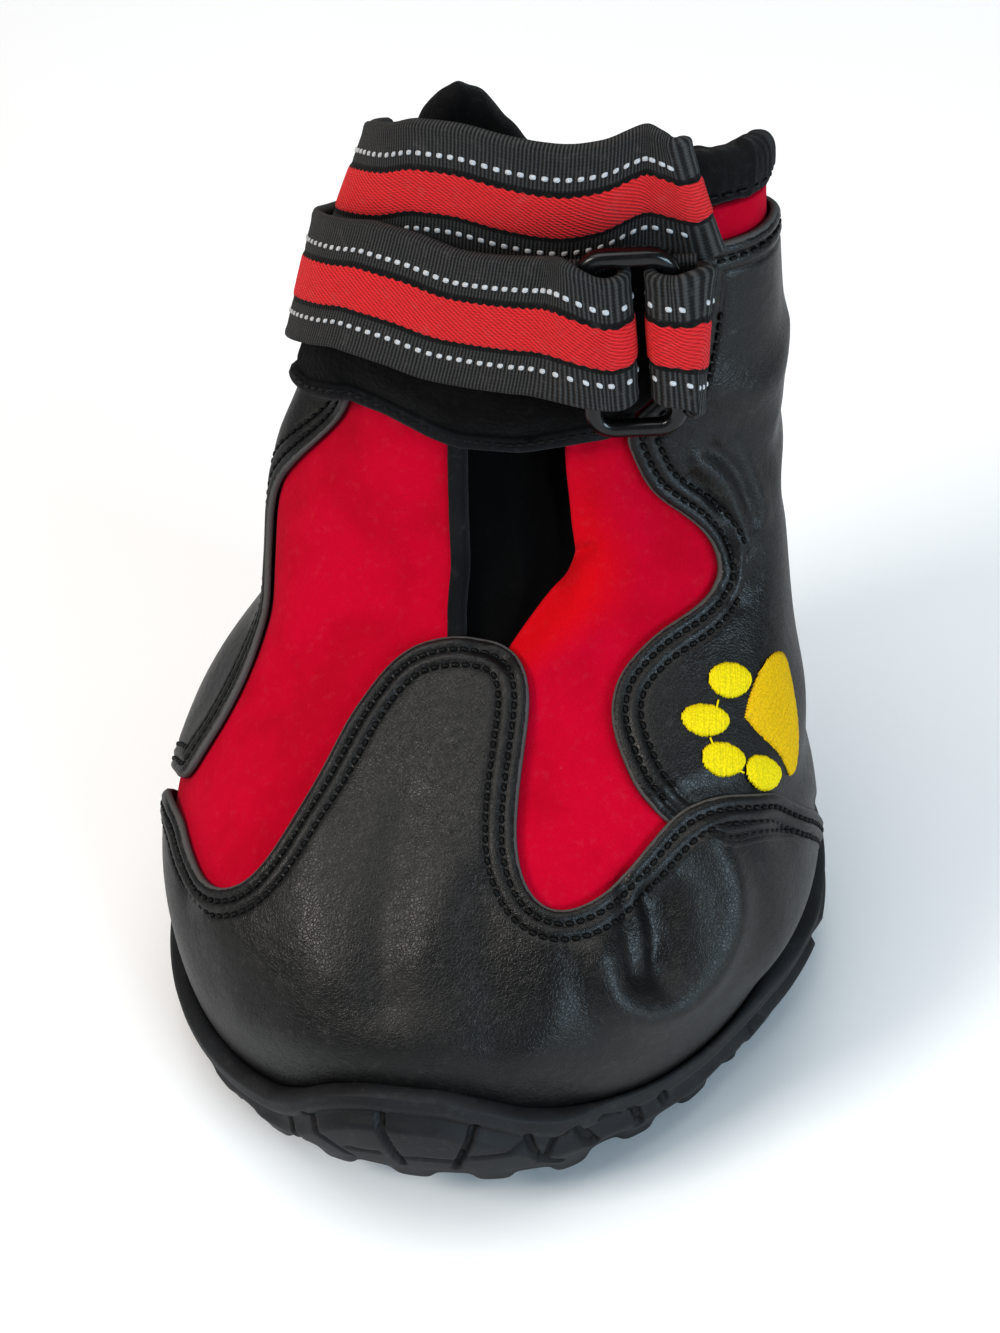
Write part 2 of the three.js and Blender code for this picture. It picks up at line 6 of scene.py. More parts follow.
import bmesh
import bpy
import numpy as np
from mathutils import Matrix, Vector
from mathutils.geometry import delaunay_2d_cdt
from mathutils.kdtree import KDTree


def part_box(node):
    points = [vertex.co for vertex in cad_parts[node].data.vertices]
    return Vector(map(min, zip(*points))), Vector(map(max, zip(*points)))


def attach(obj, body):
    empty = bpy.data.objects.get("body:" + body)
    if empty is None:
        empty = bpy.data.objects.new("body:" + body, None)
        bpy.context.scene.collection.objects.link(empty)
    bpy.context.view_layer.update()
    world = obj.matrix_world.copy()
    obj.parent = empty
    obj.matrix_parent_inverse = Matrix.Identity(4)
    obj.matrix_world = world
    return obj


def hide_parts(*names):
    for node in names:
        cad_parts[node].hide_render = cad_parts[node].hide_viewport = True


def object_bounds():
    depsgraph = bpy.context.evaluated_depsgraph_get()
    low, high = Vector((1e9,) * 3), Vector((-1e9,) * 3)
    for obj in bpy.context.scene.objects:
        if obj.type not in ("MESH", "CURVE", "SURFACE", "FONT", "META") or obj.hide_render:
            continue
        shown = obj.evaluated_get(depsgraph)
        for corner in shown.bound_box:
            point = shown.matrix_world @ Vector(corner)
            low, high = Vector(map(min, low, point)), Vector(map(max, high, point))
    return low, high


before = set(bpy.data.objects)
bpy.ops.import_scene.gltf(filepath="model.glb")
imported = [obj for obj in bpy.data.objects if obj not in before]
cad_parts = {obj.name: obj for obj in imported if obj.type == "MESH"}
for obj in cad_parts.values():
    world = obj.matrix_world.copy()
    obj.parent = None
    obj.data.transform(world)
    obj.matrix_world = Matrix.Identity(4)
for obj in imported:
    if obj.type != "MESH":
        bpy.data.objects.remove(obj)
cadLow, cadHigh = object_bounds()
scene = bpy.context.scene
mm = 0.001
print("stage: frame loaded")


# Smooth curves through a few points

def cubicThrough(keys, values, slopes):  # a curve with those slopes at the points, as a function of the key
    gap = np.diff(keys)

    def valueAt(at):
        i = np.clip(np.searchsorted(keys, at) - 1, 0, len(keys) - 2)
        t = (at - keys[i]) / gap[i]
        return (values[i] * (1 + 2 * t) * (1 - t) ** 2 + slopes[i] * gap[i] * t * (1 - t) ** 2
                + values[i + 1] * t * t * (3 - 2 * t) + slopes[i + 1] * gap[i] * t * t * (t - 1))
    return valueAt


def splineThrough(keys, values):  # a natural cubic spline
    keys, values = np.array(keys, float), np.array(values, float)
    gap, rise, count = np.diff(keys), np.diff(values) / np.diff(keys), len(keys)
    matrix, right = np.zeros((count, count)), np.zeros(count)
    matrix[0, :2], right[0] = (2, 1), 3 * rise[0]
    matrix[-1, -2:], right[-1] = (1, 2), 3 * rise[-1]
    for i in range(1, count - 1):
        matrix[i, i - 1:i + 2] = gap[i], 2 * (gap[i - 1] + gap[i]), gap[i - 1]
        right[i] = 3 * (gap[i] * rise[i - 1] + gap[i - 1] * rise[i])
    return cubicThrough(keys, values, np.linalg.solve(matrix, right))


def steadyThrough(keys, values):  # with no overshoot between the points
    keys, values = np.array(keys, float), np.array(values, float)
    rise = np.diff(values) / np.diff(keys)
    slopes = np.concatenate([[rise[0]], np.zeros(len(rise) - 1), [rise[-1]]])
    same = rise[:-1] * rise[1:] > 0
    slopes[1:-1][same] = 2 * rise[:-1][same] * rise[1:][same] / (rise[:-1] + rise[1:])[same]
    return cubicThrough(keys, values, slopes)


def splineColumns(key, columns, at):
    return np.stack([splineThrough(key, column)(at) for column in columns.T], 1)


def columnsAt(at, key, columns):
    return np.stack([np.interp(at, key, column) for column in columns.T], -1)


def smoothStep(value, low, high):
    t = np.clip((value - low) / (high - low), 0, 1)
    return t * t * (3 - 2 * t)


def ridge(value, height, middle, width):  # that high at the middle, falling away on both sides
    return height * np.exp(-((value - middle) / width) ** 2)


def unit(vectors):
    return vectors / np.linalg.norm(vectors, axis=-1, keepdims=True)


def lengthAlong(points):  # a polyline's length up to each of its points
    return np.concatenate([[0], np.cumsum(np.linalg.norm(np.diff(points, axis=0), axis=1))])


def evenly(points, step):  # the same polyline with points at an even step
    points = np.asarray(points, float)
    length = lengthAlong(points)
    return columnsAt(np.linspace(0, length[-1], max(2, int(round(length[-1] / step)) + 1)), length, points)


def roundedThrough(points, step):  # a smooth curve through points in the plane, at an even step
    points = np.array(points, float)
    key = np.concatenate([[0], np.cumsum(np.linalg.norm(np.diff(points, axis=0), axis=1) ** 0.5)])
    return evenly(splineColumns(key, points, np.linspace(0, key[-1], 60 * len(points))), step)


# The last: the smooth foot and shaft that every layer lies on

last = {
    # height; front and back: toe and heel ends; widest: where it is widest; half: half its width;
    # lean: how far the level leans to +X; square: 2 is an ellipse, more is squarer
    "columns": ("front", "back", "widest", "half", "lean", "square"),
    "levels": [
        (5, -39, 36.8, 0, 34.4, -0.7, 2.08), (10, -40.9, 38.8, -0.5, 36.3, -0.5, 2.08),
        (15, -41.3, 39.8, -1, 37.5, -0.2, 2.08), (20, -40.9, 40.4, -1, 38.4, 0.3, 2.08),
        (26, -39.2, 40.9, 0, 38.9, 0.8, 2.1), (32, -34.6, 41, 2, 38.4, 1.4, 2.1),
        (38, -26.5, 40.8, 5, 36, 2.3, 2.1), (44, -16, 40.6, 10, 32.7, 3.7, 2.1),
        (50, -4, 40.5, 15.5, 31.2, 3.8, 2.12), (55, 3, 40.7, 19, 30.8, 3.4, 2.15),
        (62, 8.5, 41.1, 22.5, 30.2, 3.5, 2.2), (72, 12.3, 41.2, 25.5, 28.2, 5.3, 2.25),
        (85, 14.8, 39.8, 27, 25.3, 7.8, 2.3), (100, 17.8, 37.2, 27.8, 21.2, 11.7, 2.3),
        (114, 20.8, 35.8, 28.6, 20, 13.6, 2.3)],
    "toeLift": 5.8, "toeLiftStart": 14, "toeLiftRun": 30, "toeLiftFades": (12, 34),
    "collarHeight": 104, "waveStart": 82,
    # turn round the boot, from the toe toward +X: how far the slack collar rises there
    "collarWave": [(-180, -7), (-166, -6.6), (-155, -3.2), (-144, 1.2), (-133, 2.6), (-121, 1.2),
                   (-107, -2), (-93, -3.6), (-76, -2.8), (-58, 0), (-35, 3), (10, 3), (50, 2.8), (70, 2.4),
                   (95, 1.2), (120, -1.5), (150, -6), (167, -7.4), (180, -7)],
}
levels = np.array(last["levels"], float)
lastCurves = {column: splineThrough(levels[:, 0], levels[:, k + 1])
              for k, column in enumerate(last["columns"])}
collarRise = steadyThrough(*zip(*last["collarWave"]))


def toeSpring(y):
    return last["toeLift"] * np.maximum(0, (-y - last["toeLiftStart"]) / last["toeLiftRun"]) ** 2


def signedPower(value, power):
    return np.sign(value) * np.abs(value) ** power


def lastPoint(turn, height):
    turn, height = np.broadcast_arrays(np.asarray(turn, float), np.asarray(height, float))
    level = {column: curve(height) for column, curve in lastCurves.items()}
    forward, sideways = np.cos(np.radians(turn)), np.sin(np.radians(turn))
    power = 2 / level["square"]
    reach = np.where(forward > 0, level["widest"] - level["front"], level["back"] - level["widest"])
    x = level["lean"] + level["half"] * signedPower(sideways, power)
    y = level["widest"] - reach * signedPower(forward, power)
    return np.stack([x, y, height + toeSpring(y) * (1 - smoothStep(height, *last["toeLiftFades"]))], -1)


def lastSlopes(turn, height):  # how the point moves for one degree and for one millimetre of height
    return ((lastPoint(turn + 0.05, height) - lastPoint(turn - 0.05, height)) / 0.1,
            (lastPoint(turn, height + 0.05) - lastPoint(turn, height - 0.05)) / 0.1)


def lastFrame(turn, height):
    turn, height = np.asarray(turn, float), np.asarray(height, float)
    perTurn, perHeight = lastSlopes(turn, height)
    along = unit(perTurn)
    out = unit(np.cross(along, perHeight))
    return lastPoint(turn, height), along, np.cross(out, along), out


def turnAt(x, height):  # the turn on the front half where the level is at that x
    level = {column: curve(np.asarray(height, float)) for column, curve in lastCurves.items()}
    share = (x - level["lean"]) / level["half"]
    return np.degrees(np.arcsin(signedPower(share, level["square"] / 2)))


def wrapped(turn):  # the same turn between -180 and 180
    return (np.asarray(turn, float) + 180) % 360 - 180


def slanted(turn, height):  # levels of the shaft follow the collar's wave
    return height + collarRise(wrapped(turn)) * smoothStep(height, last["waveStart"], last["collarHeight"])


widestHeight = 26
bootCentre = np.array([sum(lastPoint(turn, widestHeight)[0] for turn in (90, -90)) / 2,
                       (levels[:, 1].min() + levels[:, 2].max()) / 2, 0])
upperLow, upperHigh = (np.array(corner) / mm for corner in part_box("upper"))
bootShift = ((upperLow + upperHigh) / 2 - bootCentre) * (1, 1, 0)


# Creases: soft troughs and ridges over the last

creases = [
    # turns and heights along it; width of its slope; how far it rises, or sinks where below zero
    # puckers in the toe cap, then a dent and the roll round it
    ([(34.5, 38), (35.5, 35), (37.5, 30.5)], 1.0, -0.85),
    ([(39, 36.8), (41.5, 33.5), (42.5, 31)], 0.9, -0.6),
    ([(42.6, 35.4), (44, 32.4), (43.4, 29.8)], 2.9, -2.5),
    ([(31, 33.2), (34.4, 29.3), (40.7, 26.4), (48.5, 25.6), (54.6, 27.4), (58, 30.8), (58, 34.1), (54, 38)],
     2.4, 1.4),
    # soft folds over the toe
    ([(-24, 40), (-20, 35), (-14, 31)], 4.0, 0.5), ([(-9, 43), (-6, 36), (-3, 30)], 2.6, -0.5),
    ([(2, 40), (1, 34)], 3.0, 0.35), ([(9, 38), (13, 31)], 2.4, -0.4),
    ([(22, 35), (24, 29), (21, 25)], 2.6, 0.5), ([(-52, 29), (-40, 25), (-26, 25)], 4.0, -0.5),
    ([(-30, 22), (-12, 23), (8, 26)], 3.5, 0.4),
    # red turned in at the throat, and rolled in beside the tape
    ([(4, 52), (10, 55.6), (15, 58.6)], 2.0, -1.3), ([(18.5, 61), (16, 67), (13, 75)], 1.8, -0.8),
    ([(13.5, 58.4), (16, 60.2), (19, 60.8)], 0.9, -1.3), ([(-2.6, 75), (-2, 64), (-0.5, 53)], 1.9, -1.2),
    ([(17, 49), (19, 54), (19, 60)], 2.2, 0.5), ([(14, 48), (13, 43)], 2.0, -0.4),
    ([(-12, 54), (-15, 61), (-17, 69)], 2.2, -0.35),
    # broad folds of the inner side, and the slack that the strap pulls in
    ([(-6, 58), (-22, 55), (-38, 50), (-50, 46)], 4.2, -1.0), ([(-16, 66), (-30, 64), (-46, 61)], 5.0, 0.6),
    ([(-30, 46), (-42, 41), (-52, 37)], 3.6, 0.5), ([(-8.5, 74), (-6.5, 64), (-6, 55)], 1.6, 0.5),
    ([(-84, 88), (-73, 80), (-66, 73)], 7.0, -2.9), ([(-65, 70), (-67, 63)], 5.0, -0.9),
    ([(-84, 45), (-79, 38)], 5.0, -0.9),
    # the outer side's bulge over the sole, and the hollow over that
    ([(72, 23), (100, 19)], 6.0, 1.9), ([(78, 33.5), (112, 31.5)], 4.0, -1.3),
    # wrinkles beside the outer wave
    ([(44, 68.5), (53, 64.5), (61, 58)], 0.8, -0.6), ([(46, 70.5), (56, 66.5), (65, 59)], 0.9, 0.55),
    ([(50, 71.5), (60, 67.5), (68.5, 61)], 0.9, -0.6), ([(55, 73), (65, 68.5), (73, 61)], 1.2, 0.4),
    ([(57, 55.5), (64, 53), (70, 55)], 0.9, -0.35), ([(38, 62), (52, 58)], 2.0, -0.4),
    # slack folds of the shaft
    ([(60, 72), (82, 67), (100, 70)], 3.0, -0.8), ([(48, 80), (72, 77), (96, 80)], 2.6, 0.7),
    ([(100, 60), (125, 56), (150, 58)], 3.6, -0.7), ([(110, 76), (140, 72), (165, 76)], 3.4, -0.9),
    ([(-160, 66), (-130, 61), (-104, 64)], 3.6, -0.9), ([(-150, 50), (-128, 47), (-108, 50)], 3.2, -0.5),
    ([(-120, 90), (-140, 86), (-165, 89)], 2.6, -0.8),
]


def gapTo(line, points):
    return np.sqrt(((points[:, None] - line[None]) ** 2).sum(-1).min(1))


def creaseLine(path, width, lift):
    curve = roundedThrough(path, 0.5) if len(path) > 2 else np.array(path)
    line = evenly(lastPoint(*curve.T), 0.8)
    middle = line.mean(0)
    reach = np.linalg.norm(line - middle, axis=1).max() + 2.6 * width  # nothing of it is left beyond
    return line, middle, reach, width, lift


creaseLines = [creaseLine(*crease) for crease in creases]


def creaseLift(points):
    flat = points.reshape(-1, 3)
    total = np.zeros(len(flat))
    for line, middle, reach, width, lift in creaseLines:
        near = np.flatnonzero(np.linalg.norm(flat - middle, axis=1) < reach)
        if len(near):
            total[near] += ridge(gapTo(line, flat[near]), lift, 0, width)
    return total.reshape(points.shape[:-1])


def offSmooth(turn, height, lift):  # points that far off the last
    turn, height = np.broadcast_arrays(np.asarray(turn, float), np.asarray(height, float))
    point, along, up, out = lastFrame(turn, height)
    return point + out * np.broadcast_to(lift, turn.shape)[..., None]


def offLast(turn, height, lift=0):  # the same over its creases
    return offSmooth(turn, height, lift + creaseLift(lastPoint(turn, height)))


# Pieces from points and faces

def makePiece(name, points, faces, materials, slot, replaces=(), facing=None, **values):
    mesh = bpy.data.meshes.new(name)
    points = (np.asarray(points) + bootShift) * mm
    mesh.from_pydata(points.tolist(), [], [list(map(int, face)) for face in faces])
    for key, value in values.items():
        mesh.attributes.new(key, "FLOAT", "POINT").data.foreach_set("value", np.asarray(value, np.float32))
    for material in materials:
        mesh.materials.append(material)
    if facing is not None:  # which material each face has
        mesh.polygons.foreach_set("material_index", np.asarray(facing, np.int32))
    mesh.polygons.foreach_set("use_smooth", np.ones(len(mesh.polygons), bool))
    mesh.update()
    piece = bpy.data.objects.new(name, mesh)
    scene.collection.objects.link(piece)
    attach(piece, "root")
    if replaces:
        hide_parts(*replaces)
    return piece


def gridFaces(rows, columns, closed=False):
    i, j = np.meshgrid(np.arange(rows - 1), np.arange(columns if closed else columns - 1), indexing="ij")
    right = (j + 1) % columns
    return np.stack([i * columns + j, i * columns + right, (i + 1) * columns + right, (i + 1) * columns + j],
                    -1).reshape(-1, 4)


def tubeFaces(rows, columns):  # rows of closed rings, ends filled
    faces = gridFaces(rows, columns, True).tolist()
    return faces + [list(range(columns))[::-1], [(rows - 1) * columns + j for j in range(columns)]]


def tubePiece(name, rings, *more, **values):
    return makePiece(name, rings.reshape(-1, 3), tubeFaces(*rings.shape[:2]), *more, **values)


def tube(centre, side, out, radius, sides, wide=1.0, tall=1.0):  # rings round a line, and their faces
    around = np.radians(np.arange(sides) * 360 / sides)[None, :, None]
    radius = np.broadcast_to(radius, len(centre))[:, None, None]
    across = wide * np.cos(around) * side[:, None] + tall * np.sin(around) * out[:, None]
    return centre[:, None] + radius * across, tubeFaces(len(centre), sides)


def laidTube(centre, turns, heights, radius, sides, **shape):  # the same, its flat side toward the boot
    along = unit(np.gradient(centre, axis=0))
    side = unit(np.cross(lastFrame(turns, heights)[3], along))
    return tube(centre, side, np.cross(along, side), radius, sides, **shape)


def joined(parts):  # several (points, faces) as one
    points, faces, start = [], [], 0
    for partPoints, partFaces in parts:
        points.append(np.asarray(partPoints).reshape(-1, 3))
        faces += [[index + start for index in face] for face in partFaces]
        start += len(points[-1])
    return np.concatenate(points), faces


# Sheets cut to an outline and laid over the last

flatTurn = 0.63  # millimetres round the boot for one degree, near enough for spacing
flatHeights = np.arange(3, 118, 0.5)
flatLengths = lengthAlong(lastPoint(25, flatHeights))


def toFlat(turn, height):
    return np.stack([np.asarray(turn) * flatTurn, np.interp(height, flatHeights, flatLengths)], -1)


def fromFlat(flat):
    return flat[..., 0] / flatTurn, np.interp(flat[..., 1], flatLengths, flatHeights)


def inset(turn, height, distance):  # an outline's points moved square to it over the surface, to its left
    perTurn, perHeight = lastSlopes(turn, height)
    along = unit(np.gradient(lastPoint(turn, height), axis=0))
    side = np.cross(unit(np.cross(perTurn, perHeight)), along) * distance
    a, b, c = (perTurn ** 2).sum(-1), (perTurn * perHeight).sum(-1), (perHeight ** 2).sum(-1)
    p, q = (perTurn * side).sum(-1), (perHeight * side).sum(-1)
    spread = a * c - b * b
    return turn + (p * c - q * b) / spread, height + (q * a - p * b) / spread


def insidePolygon(points, polygon):
    inside = np.zeros(len(points), bool)
    for (x0, y0), (x1, y1) in zip(polygon, np.roll(polygon, -1, axis=0)):
        crosses = (y0 > points[:, 1]) != (y1 > points[:, 1])
        with np.errstate(divide="ignore", invalid="ignore"):
            inside ^= crosses & (points[:, 0] < (x1 - x0) * (points[:, 1] - y0) / (y1 - y0) + x0)
    return inside


def nearTree(path):  # to measure how far points over the last are from a path of turns and heights
    tree = KDTree(len(path))
    for i, point in enumerate(lastPoint(*path.T)):
        tree.insert(point, i)
    tree.balance()
    return tree


def distanceTo(tree, turn, height):
    return np.array([tree.find(point)[2] for point in lastPoint(turn, height)])


def cutSheet(outline, rings, spacing):
    # outline: turn and height, counter-clockwise from outside. Rings of points follow it at those distances,
    # less the ones that its bends bring nearer, and an even grid fills the rest. Returns turn, height,
    # distance from the edge, triangles, and how many points the outline has, which come first.
    tree = nearTree(outline)
    found, distances = [outline], [np.zeros(len(outline))]
    polygon = toFlat(*outline.T)
    for distance in rings:
        ring = np.stack(inset(*outline.T, distance), 1)
        keep = insidePolygon(toFlat(*ring.T), polygon)
        keep &= distanceTo(tree, *ring.T) > distance * 0.93
        found.append(ring[keep])
        distances.append(np.full(keep.sum(), distance))
    low, high = polygon.min(0), polygon.max(0)
    grid = []
    for i, row in enumerate(np.arange(low[1], high[1], spacing * 0.866)):  # triangles of even sides
        places = np.arange(low[0] + spacing / 2 * (i % 2), high[0], spacing)
        grid.append(np.stack([places, np.full(len(places), row)], 1))
    grid = np.concatenate(grid)
    grid = np.stack(fromFlat(grid[insidePolygon(grid, polygon)]), 1)
    gap = distanceTo(tree, *grid.T)
    keep = gap > rings[-1] + spacing * 0.45
    turn, height = np.concatenate(found + [grid[keep]]).T
    flat = toFlat(turn, height)
    count = len(outline)
    result = delaunay_2d_cdt([Vector(p) for p in flat], [], [list(range(count))], 1, 1e-7)
    origin = [ids[0] if ids else -1 for ids in result[3]]
    triangles = np.array([[origin[i] for i in face] for face in result[2]])
    triangles = triangles[(triangles >= 0).all(1)]
    a, b, c = (flat[triangles[:, k]] for k in range(3))
    turned = np.cross(b - a, c - a) < 0
    triangles[turned] = triangles[turned][:, ::-1]
    return turn, height, np.concatenate(distances + [gap[keep]]), triangles, count


def thickSheet(sheet, topLift, bottomLift, place=offLast):
    # closed points and faces of a cut sheet with those lifts, each point's distance from the edge, and how
    # many of the faces are on top, which come first
    turn, height, distance, triangles, rim = sheet
    top, bottom = (place(turn, height, lift(turn, height, distance)) for lift in (topLift, bottomLift))
    count = len(turn)
    around = np.arange(rim)
    following = (around + 1) % rim
    walls = np.stack([around, around + count, following + count, following], 1)
    faces = triangles.tolist() + (triangles[:, ::-1] + count).tolist() + walls.tolist()
    return np.concatenate([top, bottom]), faces, np.concatenate([distance, -np.ones(count)]), len(triangles)


# Stitches

stitch = {"first": 0.4, "sides": 6, "wide": 1.15, "arch": 0.10, "dive": 0.26, "taper": 0.55}


def stitchRow(turn, height, lift, pitch=1.24, length=0.88, radius=0.23, place=offLast):
    # thread laid along a line of turns and heights, in stitches whose ends dive into the sheet
    ends = np.stack([turn, height], 1)
    share = lengthAlong(ends)
    marks = evenly(ends, share[-1] / 4000)
    lifts = np.interp(np.linspace(0, 1, len(marks)), share / share[-1], np.broadcast_to(lift, (len(ends),)))
    covered = lengthAlong(place(*marks.T, 0))
    parts = []
    t = np.linspace(0, 1, 7)
    toEnd = np.abs(2 * t - 1)
    arch = stitch["arch"] - stitch["dive"] * toEnd ** 3
    fat = radius * (1 - stitch["taper"] * toEnd ** 4)
    for start in np.arange(stitch["first"], covered[-1] - length, pitch):
        at = start + length * t
        turns, heights = columnsAt(at, covered, marks).T
        centre = place(turns, heights, np.interp(at, covered, lifts) + arch)
        parts.append(laidTube(centre, turns, heights, fat, stitch["sides"], wide=stitch["wide"]))
    return parts


def makeStitches(name, parts, thread="blackThread", slot="leather"):
    makePiece(name, *joined(parts), [paint[thread]], slot)


# Materials

def addNode(tree, kind, inputs=(), **settings):
    node = tree.nodes.new("ShaderNode" + kind)
    for key, value in settings.items():
        setattr(node, key, value)
    for key, value in dict(inputs).items():
        if isinstance(value, bpy.types.NodeSocket):
            tree.links.new(value, node.inputs[key])
        else:
            node.inputs[key].default_value = value
    return node


def compute(tree, operation, *values):  # one Math node
    return addNode(tree, "Math", dict(enumerate(values)), operation=operation).outputs[0]


def times(tree, first, second):
    return compute(tree, "MULTIPLY", first, second)


def plus(tree, first, second):
    return compute(tree, "ADD", first, second)


def colourMix(tree, factor, first, second):
    return addNode(tree, "Mix", {0: factor, 6: first, 7: second}, data_type="RGBA").outputs[2]


def ramp(tree, value, low, high, to=(0.0, 1.0)):  # smooth step between two values
    return addNode(tree, "MapRange", {"Value": value, "From Min": low, "From Max": high, "To Min": to[0],
                                      "To Max": to[1]}, interpolation_type="SMOOTHSTEP").outputs[0]


def wire(tree, sockets, **values):  # spaces in a socket's name are written as underscores
    for key, value in values.items():
        tree.links.new(value, sockets[key.replace("_", " ")])


def newGroup(name, inputs, *outputs):
    group = bpy.data.node_groups.new(name, "ShaderNodeTree")
    for key, value in inputs.items():
        group.interface.new_socket(key, in_out="INPUT", socket_type="NodeSocketFloat").default_value = value
    for key in outputs:
        group.interface.new_socket(key, in_out="OUTPUT", socket_type="NodeSocketFloat")
    enter, leave = group.nodes.new("NodeGroupInput"), group.nodes.new("NodeGroupOutput")
    return group, enter.outputs, leave.inputs


def coordinates(tree):  # of the object, in metres
    return addNode(tree, "TexCoord").outputs["Object"]


def noise(tree, scale, detail=2.0, rough=0.5):
    return addNode(tree, "TexNoise", {"Vector": coordinates(tree), "Scale": scale, "Detail": detail,
                                      "Roughness": rough}).outputs["Fac"]


def cells(tree, scale, randomness, feature, shake, detail, reach):  # with their coordinates pushed about
    shift = addNode(tree, "TexNoise", {"Vector": coordinates(tree), "Scale": shake, "Detail": detail})
    bent = addNode(tree, "VectorMath", {0: shift.outputs["Color"], 1: (reach,) * 3}, operation="MULTIPLY")
    at = addNode(tree, "VectorMath", {0: coordinates(tree), 1: bent.outputs[0]}, operation="ADD").outputs[0]
    return addNode(tree, "TexVoronoi", {"Vector": at, "Scale": scale, "Randomness": randomness},
                   feature=feature).outputs["Distance"]


def grainGroup():  # pebbled grain of coated leather, with creases between the pebbles
    group, take, give = newGroup("pebbleGrain", {"Cells per metre": 1500.0}, "Height", "Creases", "Cloud")
    edges = cells(group, take["Cells per metre"], 1.0, "DISTANCE_TO_EDGE", 900.0, 1.0, 0.0009)
    pebble = ramp(group, edges, 0.0, 0.22)
    height = plus(group, times(group, pebble, 0.75), times(group, noise(group, 5200.0), 0.45))
    wire(group, give, Height=height, Creases=compute(group, "SUBTRACT", 1.0, pebble),
         Cloud=noise(group, 55.0, 3.0, 0.6))
    return group


def clothGroup():  # close knit of threads, broken up by noise
    group, take, give = newGroup("closeKnit", {"Threads per metre": 2600.0}, "Height", "Cloud")
    knit = cells(group, take["Threads per metre"], 0.7, "SMOOTH_F1", 350.0, 2.0, 0.0006)
    fuzz = noise(group, 6500.0, 3.0, 0.6)
    wire(group, give, Height=compute(group, "SUBTRACT", times(group, fuzz, 0.8), times(group, knit, 0.7)),
         Cloud=noise(group, 90.0, 3.0, 0.55))
    return group


def dustGroup():  # sparse pale specks, and lint that settles in patches
    group, take, give = newGroup("dust", {"Amount": 0.5}, "Mask")
    specks = addNode(group, "TexVoronoi", {"Vector": coordinates(group), "Scale": 210.0, "Randomness": 1.0})
    small = ramp(group, specks.outputs["Distance"], 0.055, 0.02)
    rare = ramp(group, noise(group, 130.0, 1.0), 0.55, 0.66)
    haze = times(group, ramp(group, noise(group, 700.0, 4.0, 0.7), 0.52, 0.75), 0.35)
    total = compute(group, "MAXIMUM", times(group, small, rare), haze)
    wire(group, give, Mask=times(group, total, take["Amount"]))
    return group


def edgeHighlightGroup():  # a paler line along a sheet's edge, from each point's distance to its edge: partly the cut edge's own colour, partly a painted highlight along the edge
    group, take, give = newGroup("cutEdgeAndHighlight", {"Width": 0.4}, "Mask")
    edge = addNode(group, "Attribute", attribute_name="edge").outputs["Fac"]
    ragged = compute(group, "SUBTRACT", noise(group, 1400.0), 0.5)
    ragged = plus(group, edge, times(group, ragged, 0.25))
    wire(group, give, Mask=ramp(group, ragged, times(group, take["Width"], 1.35), take["Width"]))
    return group


def webbingGroup():  # woven strap: cross ribs, a twilled band down the middle, dark teeth between the two
    group, take, give = newGroup("stripedWebbing", {"Ribs per mm": 1.9, "Band half": 2.95},
                                 "Height", "Band", "Teeth", "Light")
    along, across = (addNode(group, "Attribute", attribute_name=name).outputs["Fac"]
                     for name in ("along", "across"))
    ribs = compute(group, "SINE", times(group, times(group, along, take["Ribs per mm"]), 6.2832))
    weft = compute(group, "SINE", times(group, across, 13.0))
    slant = plus(group, times(group, along, 8.2), times(group, across, 12.0))
    steep = compute(group, "SINE", times(group, across, 17.0))
    twill = plus(group, times(group, compute(group, "SINE", slant), 0.7), times(group, steep, 0.3))
    saw = compute(group, "PINGPONG", along, 0.55)
    away = compute(group, "ABSOLUTE", across)
    half = take["Band half"]
    band = ramp(group, plus(group, away, times(group, saw, 0.45)), plus(group, half, 0.12), half)
    rim = times(group, ramp(group, away, plus(group, half, 0.9), plus(group, half, 0.5)),
                compute(group, "SUBTRACT", 1.0, band))
    plain = plus(group, times(group, ribs, 0.5), times(group, weft, 0.1))
    woven = addNode(group, "Mix", {0: band, 2: plain, 3: times(group, twill, 0.7)}).outputs[0]
    wire(group, give, Height=plus(group, woven, times(group, noise(group, 3800.0), 0.5)), Band=band,
         Teeth=rim, Light=plus(group, times(group, twill, 0.5), 0.5))
    return group


groups = {"grain": grainGroup(), "cloth": clothGroup(), "dust": dustGroup(), "cutEdgeAndHighlight": edgeHighlightGroup(),
          "webbing": webbingGroup()}


def placed(tree, group, **inputs):
    node = tree.nodes.new("ShaderNodeGroup")
    node.node_tree = groups[group]
    for key, value in inputs.items():
        node.inputs[key.replace("_", " ")].default_value = value
    return node.outputs


def newMaterial(name, **settings):  # settings are the shader's own sockets
    material = bpy.data.materials.new(name)
    material.use_nodes = True
    shader = material.node_tree.nodes["Principled BSDF"]
    for key, value in settings.items():
        shader.inputs[key.replace("_", " ")].default_value = value
    return material, material.node_tree, shader.inputs


def bumped(tree, height, strength, distance, **normal):
    inputs = {"Height": height, "Strength": strength, "Distance": distance, **normal}
    return addNode(tree, "Bump", inputs).outputs[0]


def dusted(tree, colour, amount, *dust):
    return colourMix(tree, placed(tree, "dust", Amount=amount)["Mask"], colour, (*dust, 1))


